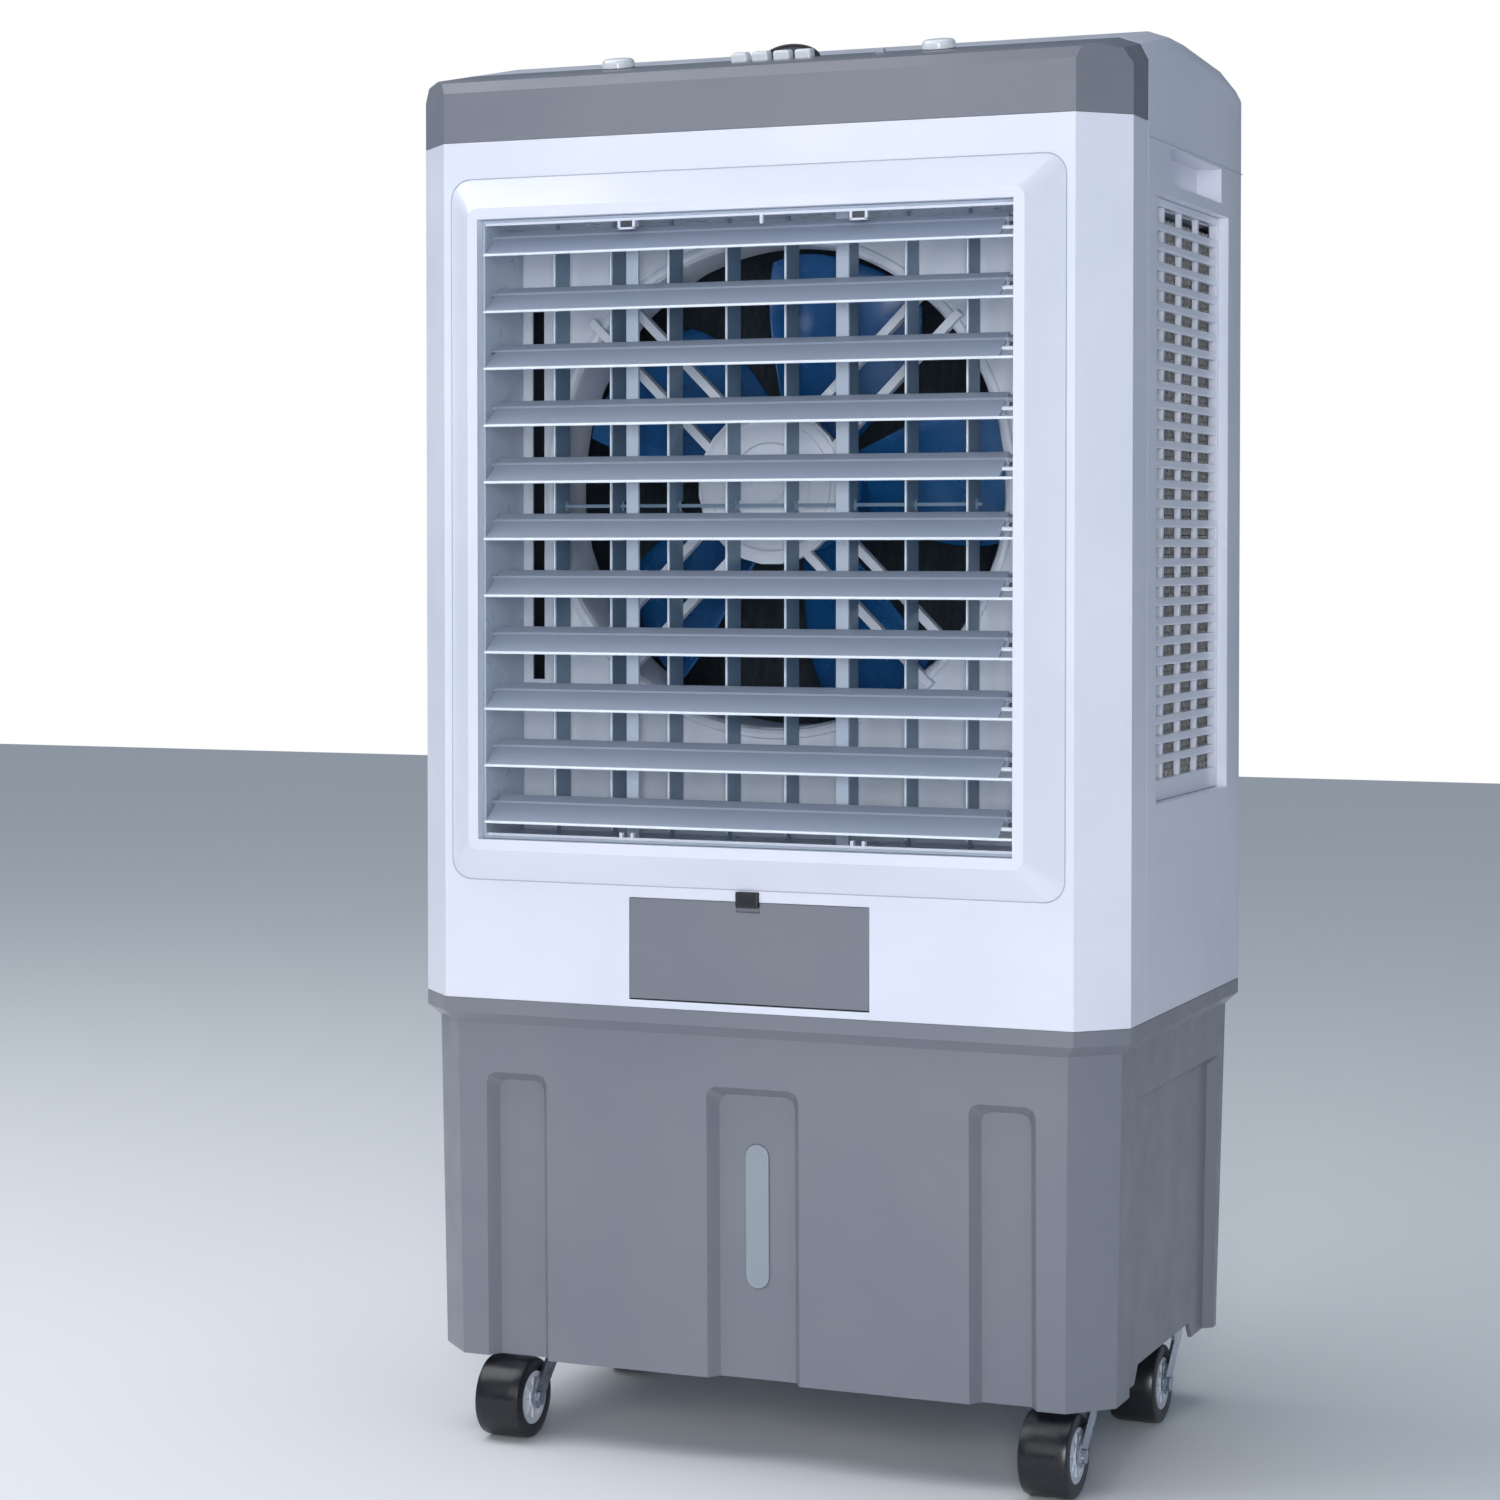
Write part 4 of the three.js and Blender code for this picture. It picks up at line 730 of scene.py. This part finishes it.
class COOLER_OT_fan(bpy.types.Operator):
    """Fan with cambered blades, motor, shroud, bell mouth and guard boss"""
    bl_idname = "cooler.fan"
    bl_label = "Fan"
    bl_options = {"REGISTER", "UNDO"}

    def execute(self, context):
        self.centre = Vector(JOINTS["fan_spin"]["pos_m"])
        low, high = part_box("fan")
        self.middle = Vector((self.centre.x, (low.y + high.y) / 2, self.centre.z))
        self.blades()
        self.hub()
        self.shroud()
        motor = refined("fan_motor", 1.5 * MM, 3)
        place_piece(motor, "housing", "motor_metal", "motor_metal", "fan_motor")
        return {"FINISHED"}

    def blades(self):
        """One cambered, twisted blade, repeated round the hub."""
        bm = bmesh.new()
        rows, columns = 12, 10
        grid = []
        for i in range(rows + 1):
            share = i / rows
            radius = (BLADE_ROOT + (BLADE_TIP - BLADE_ROOT) * share) * MM
            pitch = math.radians(40 - 14 * share)
            chord = (76 + 72 * math.sin(share * math.pi * 0.6)) * MM
            sweep = 16 * MM * share * share
            line = []
            for k in range(columns + 1):
                along = (k / columns - 0.5) * chord
                camber = 6 * MM * (1 - (2 * k / columns - 1) ** 2)
                trim = 1 - 0.10 * abs(2 * k / columns - 1) ** 3 * share
                line.append(bm.verts.new((
                    radius * trim,
                    -along * math.sin(pitch) + camber * math.cos(pitch),
                    along * math.cos(pitch) + camber * math.sin(pitch) + sweep)))
            grid.append(line)
        for i in range(rows):
            for k in range(columns):
                bm.faces.new((grid[i][k], grid[i + 1][k], grid[i + 1][k + 1], grid[i][k + 1]))
        blade = mesh_piece("fan_blades", bm, 60)
        wall = blade.modifiers.new("wall", "SOLIDIFY")
        wall.thickness = 2.6 * MM
        wall.offset = 0
        round_edge = blade.modifiers.new("edge", "BEVEL")
        round_edge.width = 0.9 * MM
        round_edge.segments = 2
        round_edge.limit_method = "ANGLE"
        settle(blade)
        repeated(blade, "ring", "fan_plastic", Count=5, Centre=tuple(self.middle), Axis=(0, 1, 0))
        place_piece(blade, "fan", "fan_plastic", "fan_plastic", "fan")

    def hub(self):
        """Open cup with ribs inside."""
        half, r = 17 * MM, HUB_RADIUS
        hub = turned("fan_hub", [
            (6.4 * MM, -half), (r * 0.80, -half), (r * 0.93, -half + 2 * MM), (r, -half + 7 * MM), (r, half - 2 * MM),
            (r - 1.5 * MM, half), (r - 5 * MM, half), (r - 5 * MM, half - 22 * MM), (14 * MM, half - 22 * MM),
            (14 * MM, half - 3 * MM), (6.4 * MM, half - 3 * MM)],
            tuple(self.middle), "y", 72)
        place_piece(hub, "fan", "fan_plastic", "fan_plastic")
        rib = block_piece("fan_hub_ribs", (13 * MM, 0, -1.2 * MM), (r - 4 * MM, half - 5 * MM, 1.2 * MM), 0.4 * MM, 1)
        repeated(rib, "ring", "fan_plastic", Count=10, Centre=tuple(self.middle), Axis=(0, 1, 0))
        place_piece(rib, "fan", "fan_plastic", "fan_plastic")

    def shroud(self):
        """Orifice plate and guard, with the rolled bell mouth and the boss over the motor."""
        shroud = refined("fan_shroud", 0.8 * MM, 2)
        place_piece(shroud, "housing", "pale_plastic", "shroud_plastic", "fan_shroud")
        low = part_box("fan_shroud")[0]
        plate = low.y + 9.3 * MM
        bore = ORIFICE_RADIUS
        mouth = turned("bell_mouth", [
            (bore - 1.6 * MM, 60 * MM), (bore - 1.6 * MM, 6 * MM), (bore - 0.6 * MM, 1 * MM),
            (bore + 1.6 * MM, -2.2 * MM), (bore + 5 * MM, -3.4 * MM), (bore + 8.5 * MM, -2.4 * MM),
            (bore + 10 * MM, 0.2 * MM), (bore + 1 * MM, 0.5 * MM), (bore + 1 * MM, 60 * MM)],
            (self.centre.x, plate, self.centre.z), "y", 128)
        place_piece(mouth, "housing", "pale_plastic", "shroud_plastic")
        boss = turned("guard_boss", [
            (0, 1 * MM), (69 * MM, 1 * MM), (69 * MM, -0.8 * MM), (66 * MM, -2.2 * MM), (60 * MM, -2.2 * MM),
            (58 * MM, -0.6 * MM), (40 * MM, -0.6 * MM), (38 * MM, -2.4 * MM), (16 * MM, -2.8 * MM),
            (14 * MM, -1.6 * MM), (0, -1.6 * MM)], (self.centre.x, low.y, self.centre.z), "y", 96)
        place_piece(boss, "housing", "pale_plastic", "shroud_plastic")


# Each grille is drawn flat: u along the wall, w outwards and z up.
FACES = {
    "right": lambda u, w, z: (w, u, z),
    "left": lambda u, w, z: (-w, u, z),
    "rear": lambda u, w, z: (u, w, z),
}


def faced_block(bm, side, low, high):
    """A block drawn flat and laid on a wall."""
    a, b = FACES[side](*low), FACES[side](*high)
    add_block(bm, [min(p, q) for p, q in zip(a, b)], [max(p, q) for p, q in zip(a, b)])


def wall_span(side, node):
    """(u0, u1, w0, w1, z0, z1) of a node on a wall."""
    low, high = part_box(node)
    if side == "right":
        return low.y, high.y, low.x, high.x, low.z, high.z
    if side == "left":
        return low.y, high.y, -high.x, -low.x, low.z, high.z
    return low.x, high.x, low.y, high.y, low.z, high.z


class COOLER_OT_grilles(bpy.types.Operator):
    """Pad covers: deep slats over set-back ribs in a frame"""
    bl_idname = "cooler.grilles"
    bl_label = "Grilles"
    bl_options = {"REGISTER", "UNDO"}

    def execute(self, context):
        for side, columns in (("right", sizes().slat_columns), ("left", sizes().slat_columns), ("rear", 9)):
            self.panel(side, "grille_" + side, columns)
        return {"FINISHED"}

    def panel(self, side, node, columns):
        """One cover: its casing, the slats and the ribs behind them."""
        u0, u1, w0, w1, z0, z1 = wall_span(side, node)
        stile, foot, head = 6 * MM, 19 * MM, 7 * MM
        sill, lintel = z0 + foot - 1 * MM, z1 - head + 1 * MM
        bm = bmesh.new()
        faced_block(bm, side, (u0, w0, z0), (u1, w1, z0 + foot))
        faced_block(bm, side, (u0, w0, z1 - head), (u1, w1, z1))
        faced_block(bm, side, (u0, w0 + 0.02 * MM, sill), (u0 + stile, w1 - 0.02 * MM, lintel))
        faced_block(bm, side, (u1 - stile, w0 + 0.02 * MM, sill), (u1, w1 - 0.02 * MM, lintel))
        casing = bevelled(mesh_piece(node + "_casing", bm), 1.0 * MM, 2)
        place_piece(casing, "housing", "white_plastic", "white_plastic", node)

        rows = sizes().slat_rows
        room = z1 - head - z0 - foot
        pitch = room / (rows + 1) if rows else room
        tall = sizes().slat_height
        bm = bmesh.new()
        first = z0 + foot + pitch - tall / 2
        faced_block(bm, side, (u0 + stile - 1 * MM, w0 + 0.6 * MM, first),
                    (u1 - stile + 1 * MM, w1 - 0.6 * MM, first + tall))
        slat = bevelled(mesh_piece(node + "_slats", bm), 1.5 * MM, 3)
        repeated(slat, "line", "white_plastic", Count=rows, Step=(0, 0, pitch))
        place_piece(slat, "housing", "white_plastic", "white_plastic")

        span = u1 - u0 - 2 * stile
        step = span / columns
        bm = bmesh.new()
        faced_block(bm, side, (u0 + stile + step - 3.2 * MM, w0 + 0.3 * MM, sill),
                    (u0 + stile + step + 3.2 * MM, w1 - 3.4 * MM, lintel))
        rib = bevelled(mesh_piece(node + "_ribs", bm), 0.6 * MM, 2)
        along = Vector(FACES[side](step, 0, 0))
        repeated(rib, "line", "white_plastic", Count=columns - 1, Step=tuple(along))
        place_piece(rib, "housing", "white_plastic", "white_plastic")


class COOLER_OT_pads(bpy.types.Operator):
    """Cooling pads: stacked corrugated sheets in front of a core whose near-black colour is painted shade deep in the
    pad
    """
    bl_idname = "cooler.pads"
    bl_label = "Cooling pads"
    bl_options = {"REGISTER", "UNDO"}

    def execute(self, context):
        for side in ("right", "left", "rear"):
            self.pad(side, "pad_" + side)
        return {"FINISHED"}

    def pad(self, side, node):
        """A plain core behind one corrugated sheet, repeated up the pad; the core's near-black colour is painted shade
        between the sheets.
        """
        u0, u1, w0, w1, z0, z1 = wall_span(side, node)
        depth, flute, paper = 11 * MM, sizes().flute, 0.8 * MM
        bm = bmesh.new()
        faced_block(bm, side, (u0, w0, z0), (u1, w1 - depth, z1))
        core = bevelled(mesh_piece(node + "_core", bm), 1 * MM, 1)
        place_piece(core, "housing", "pad_media", "pad_core", node)
        bm = bmesh.new()
        steps = int((u1 - u0) / (0.75 * flute))
        pitch = (u1 - u0) / steps
        amplitude = flute * 0.42
        start = z0 + flute * 0.6
        rows = []
        for i in range(steps + 1):
            u, z = u0 + pitch * i, start + (amplitude if i % 2 else -amplitude)
            rows.append([bm.verts.new(FACES[side](u, w, z + lift))
                         for w, lift in ((w1 - depth, 0), (w1, 0), (w1, paper), (w1 - depth, paper))])
        for a, b in zip(rows, rows[1:]):
            for k in range(4):
                bm.faces.new((a[k], a[(k + 1) % 4], b[(k + 1) % 4], b[k]))
        bm.faces.new(rows[0])
        bm.faces.new(rows[-1][::-1])
        sheet = mesh_piece(node + "_sheets", bm, 20)
        count = int((z1 - z0 - 1.2 * flute) / flute) + 1
        repeated(sheet, "line", "pad_media", Count=count, Step=(0, 0, flute))
        place_piece(sheet, "housing", "pad_media", "pad_media")


class COOLER_OT_tank(bpy.types.Operator):
    """Water tank, level window and drain plug"""
    bl_idname = "cooler.tank"
    bl_label = "Water tank"
    bl_options = {"REGISTER", "UNDO"}

    def execute(self, context):
        tank = refined("water_tank", sizes().tank_edge, 3, 24)
        place_piece(tank, "housing", "grey_plastic", "grey_plastic", "water_tank")
        window = refined("level_window", 1.0 * MM, 3)
        place_piece(window, "housing", "window_plastic", "window_plastic", "level_window")
        plug = refined("drain_plug", 0.8 * MM, 2)
        place_piece(plug, "housing", "grey_plastic", "grey_plastic", "drain_plug")
        return {"FINISHED"}


def both_sides(profile):
    """A wheel's half section, mirrored to its other face."""
    return profile + [(radius, -level) for radius, level in reversed(profile)]


class COOLER_OT_casters(bpy.types.Operator):
    """Swivel casters: plates and bolts, forks, treads and hubs"""
    bl_idname = "cooler.casters"
    bl_label = "Casters"
    bl_options = {"REGISTER", "UNDO"}

    def execute(self, context):
        for corner in CORNERS:
            self.plate(corner)
            fork = refined(f"caster_fork_{corner}", 0.5 * MM, 2)
            place_piece(fork, f"caster_fork_{corner}", "zinc_steel", "zinc_steel", f"caster_fork_{corner}")
            self.wheel(corner)
        return {"FINISHED"}

    def plate(self, corner):
        """Mounting plate and its four bolts."""
        node = f"caster_plate_{corner}"
        plate = refined(node, 0.6 * MM, 2)
        place_piece(plate, "housing", "zinc_steel", "zinc_steel", node)
        low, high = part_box(node)
        centre = ((low.x + high.x) / 2, (low.y + high.y) / 2, high.z - 3 * MM)
        arm = 24 * MM
        bolt = turned(node + "_bolts", [(0, 1 * MM), (4.2 * MM, 1 * MM), (4.2 * MM, -1.6 * MM), (3.4 * MM, -2.6 * MM),
                                        (0, -2.9 * MM)], (arm, arm, 0), "z", 6)
        repeated(bolt, "ring", "zinc_steel", Count=4, Centre=centre, Axis=(0, 0, 1))
        place_piece(bolt, "housing", "zinc_steel", "zinc_steel")

    def wheel(self, corner):
        """Tread, hub discs and spokes."""
        node = f"caster_wheel_{corner}"
        low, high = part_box(node)
        centre = (low + high) / 2
        half = (high.x - low.x) / 2
        rim = [(24 * MM, half - 4 * MM), (25 * MM, half - 0.6 * MM), (33.5 * MM, half - 0.2 * MM),
               (36.3 * MM, half - 1.6 * MM), (37.3 * MM, half - 4.5 * MM), (WHEEL_RADIUS, half * 0.5)]
        tread = turned(node + "_tread", both_sides(rim), tuple(centre), "x", 72)
        place_piece(tread, node, "wheel_rubber", "wheel_rubber", node)
        face = [(4.5 * MM, half - 0.4 * MM), (8.5 * MM, half - 0.4 * MM), (9.5 * MM, half - 2.0 * MM),
                (13 * MM, half - 3.2 * MM), (18 * MM, half - 3.2 * MM), (20 * MM, half - 1.2 * MM),
                (24.4 * MM, half - 0.9 * MM), (24.8 * MM, half - 3 * MM)]
        hub = turned(node + "_hub", both_sides(face), tuple(centre), "x", 64)
        place_piece(hub, node, "wheel_rubber", "hub_plastic")
        for side_sign in (-1, 1):
            near, far = sorted((side_sign * (half - 5 * MM), side_sign * (half - 1.6 * MM)))
            spoke = block_piece(f"{node}_spokes_{'out' if side_sign > 0 else 'in'}",
                                (near, -1.2 * MM, 9 * MM), (far, 1.2 * MM, 21 * MM), 0.4 * MM, 1)
            repeated(spoke, "ring", "hub_plastic", Count=8, Centre=tuple(centre), Axis=(1, 0, 0))
            place_piece(spoke, node, "wheel_rubber", "hub_plastic")


class COOLER_OT_insides(bpy.types.Operator):
    """Pump, water tray and cord gland"""
    bl_idname = "cooler.insides"
    bl_label = "Inner pieces"
    bl_options = {"REGISTER", "UNDO"}

    def execute(self, context):
        for node, finish, edge in (("pump", "black_plastic", 1.5 * MM),
                                   ("water_distributor", "white_plastic", 0.6 * MM),
                                   ("cord_gland", "black_plastic", 0.5 * MM)):
            piece = refined(node, edge, 2)
            place_piece(piece, "housing", finish, finish, node)
        return {"FINISHED"}


class COOLER_OT_stage(bpy.types.Operator):
    """Pale floor, soft studio light and the camera"""
    bl_idname = "cooler.stage"
    bl_label = "Stage"
    bl_options = {"REGISTER", "UNDO"}

    def execute(self, context):
        self.floor()
        self.lights()
        self.camera()
        bpy.context.scene.view_settings.view_transform = "Standard"
        return {"FINISHED"}

    def floor(self):
        """Plain pale ground."""
        bm = bmesh.new()
        bmesh.ops.create_grid(bm, x_segments=1, y_segments=1, size=9)
        ground = mesh_piece("floor", bm)
        material, tree, shader, place = shader_tree("studio floor")
        soft = noise(tree, place, 1.5, 3)
        tree.links.new(tint(tree, soft, (0.90, 0.91, 0.93), (0.985, 0.985, 0.99)), shader.inputs["Base Color"])
        shader.inputs["Roughness"].default_value = 0.6
        ground.data.materials.append(material)

    def lights(self):
        """Large soft panels, a wide sun and a faint blue ambient; the camera sees white."""
        def panel(name, place, target, size, power, tone):
            data = bpy.data.lights.new(name, "AREA")
            data.shape = "RECTANGLE"
            data.size, data.size_y = size
            data.energy = power
            data.color = tone
            lamp = bpy.data.objects.new(name, data)
            bpy.context.scene.collection.objects.link(lamp)
            lamp.location = place
            lamp.rotation_euler = (Vector(target) - Vector(place)).to_track_quat("-Z", "Y").to_euler()

        panel("key", (-0.9, -4.3, 2.0), (0, 0, 0.75), (2.4, 2.2), 24, (1.0, 0.985, 0.97))
        panel("front_fill", (1.45, -4.0, 1.2), (0.1, 0, 0.72), (0.8, 1.8), 71, (0.95, 0.97, 1.0))
        panel("left_top", (-2.3, -0.9, 3.0), (-2.0, -0.8, 0), (2.8, 2.8), 72, (0.98, 0.99, 1.0))
        panel("edge_strip", (2.9, -2.4, 0.95), (0.1, -0.1, 0.75), (0.22, 2.2), 8, (0.82, 0.91, 1.0))
        data = bpy.data.lights.new("overhead", "SUN")
        data.energy = 0.7
        data.angle = math.radians(40)
        data.color = (0.98, 0.99, 1.0)
        overhead = bpy.data.objects.new("overhead", data)
        overhead.location = (0, 0, 4)
        bpy.context.scene.collection.objects.link(overhead)
        world = bpy.data.worlds.new("studio")
        world.use_nodes = True
        tree = world.node_tree
        tree.nodes.clear()
        seen = tree.nodes.new("ShaderNodeBackground")
        seen.inputs["Color"].default_value = (1, 1, 1, 1)
        ambient = tree.nodes.new("ShaderNodeBackground")
        ambient.inputs["Color"].default_value = (0.52, 0.74, 1.0, 1)
        ambient.inputs["Strength"].default_value = 0.18
        path = tree.nodes.new("ShaderNodeLightPath")
        pick = tree.nodes.new("ShaderNodeMixShader")
        out = tree.nodes.new("ShaderNodeOutputWorld")
        tree.links.new(path.outputs["Is Camera Ray"], pick.inputs[0])
        tree.links.new(ambient.outputs[0], pick.inputs[1])
        tree.links.new(seen.outputs[0], pick.inputs[2])
        tree.links.new(pick.outputs[0], out.inputs[0])
        bpy.context.scene.world = world

    def camera(self):
        data = bpy.data.cameras.new("camera")
        data.sensor_width = 36
        data.lens = 80.27
        data.shift_y = -0.075
        data.dof.use_dof = False
        camera = bpy.data.objects.new("camera", data)
        camera.location = (1.1505, -2.9843, 0.8320)
        camera.rotation_euler = (math.radians(90 - 1.509), 0, math.radians(22.53))
        bpy.context.scene.collection.objects.link(camera)
        bpy.context.scene.camera = camera


# ---- Panel and order of work ----
STEPS = (COOLER_OT_stage, COOLER_OT_shells, COOLER_OT_controls, COOLER_OT_fill_door, COOLER_OT_louvres,
         COOLER_OT_vanes, COOLER_OT_fan, COOLER_OT_grilles, COOLER_OT_pads, COOLER_OT_tank, COOLER_OT_casters,
         COOLER_OT_insides)


class COOLER_PT_panel(bpy.types.Panel):
    """Sizes, colours and build steps of the cooler"""
    bl_idname = "COOLER_PT_panel"
    bl_label = "Evaporative cooler"
    bl_space_type = "VIEW_3D"
    bl_region_type = "UI"
    bl_category = "Cooler"

    def draw(self, context):
        for group in (context.scene.cooler_sizes, context.scene.cooler_colours):
            box = self.layout.box()
            for name in group.bl_rna.properties.keys():
                if name not in {"rna_type", "name"}:
                    box.prop(group, name)
        for step in STEPS:
            self.layout.operator(step.bl_idname)


CLASSES = (CoolerSizes, CoolerColours, *STEPS, COOLER_PT_panel)


def register():
    for item in CLASSES:
        bpy.utils.register_class(item)
    bpy.types.Scene.cooler_sizes = bpy.props.PointerProperty(type=CoolerSizes)
    bpy.types.Scene.cooler_colours = bpy.props.PointerProperty(type=CoolerColours)


def unregister():
    del bpy.types.Scene.cooler_colours
    del bpy.types.Scene.cooler_sizes
    for item in reversed(CLASSES):
        bpy.utils.unregister_class(item)


def main():
    register()
    make_finishes()
    for step in STEPS:
        family, action = step.bl_idname.split(".")
        getattr(getattr(bpy.ops, family), action)()


if __name__ == "__main__":
    main()
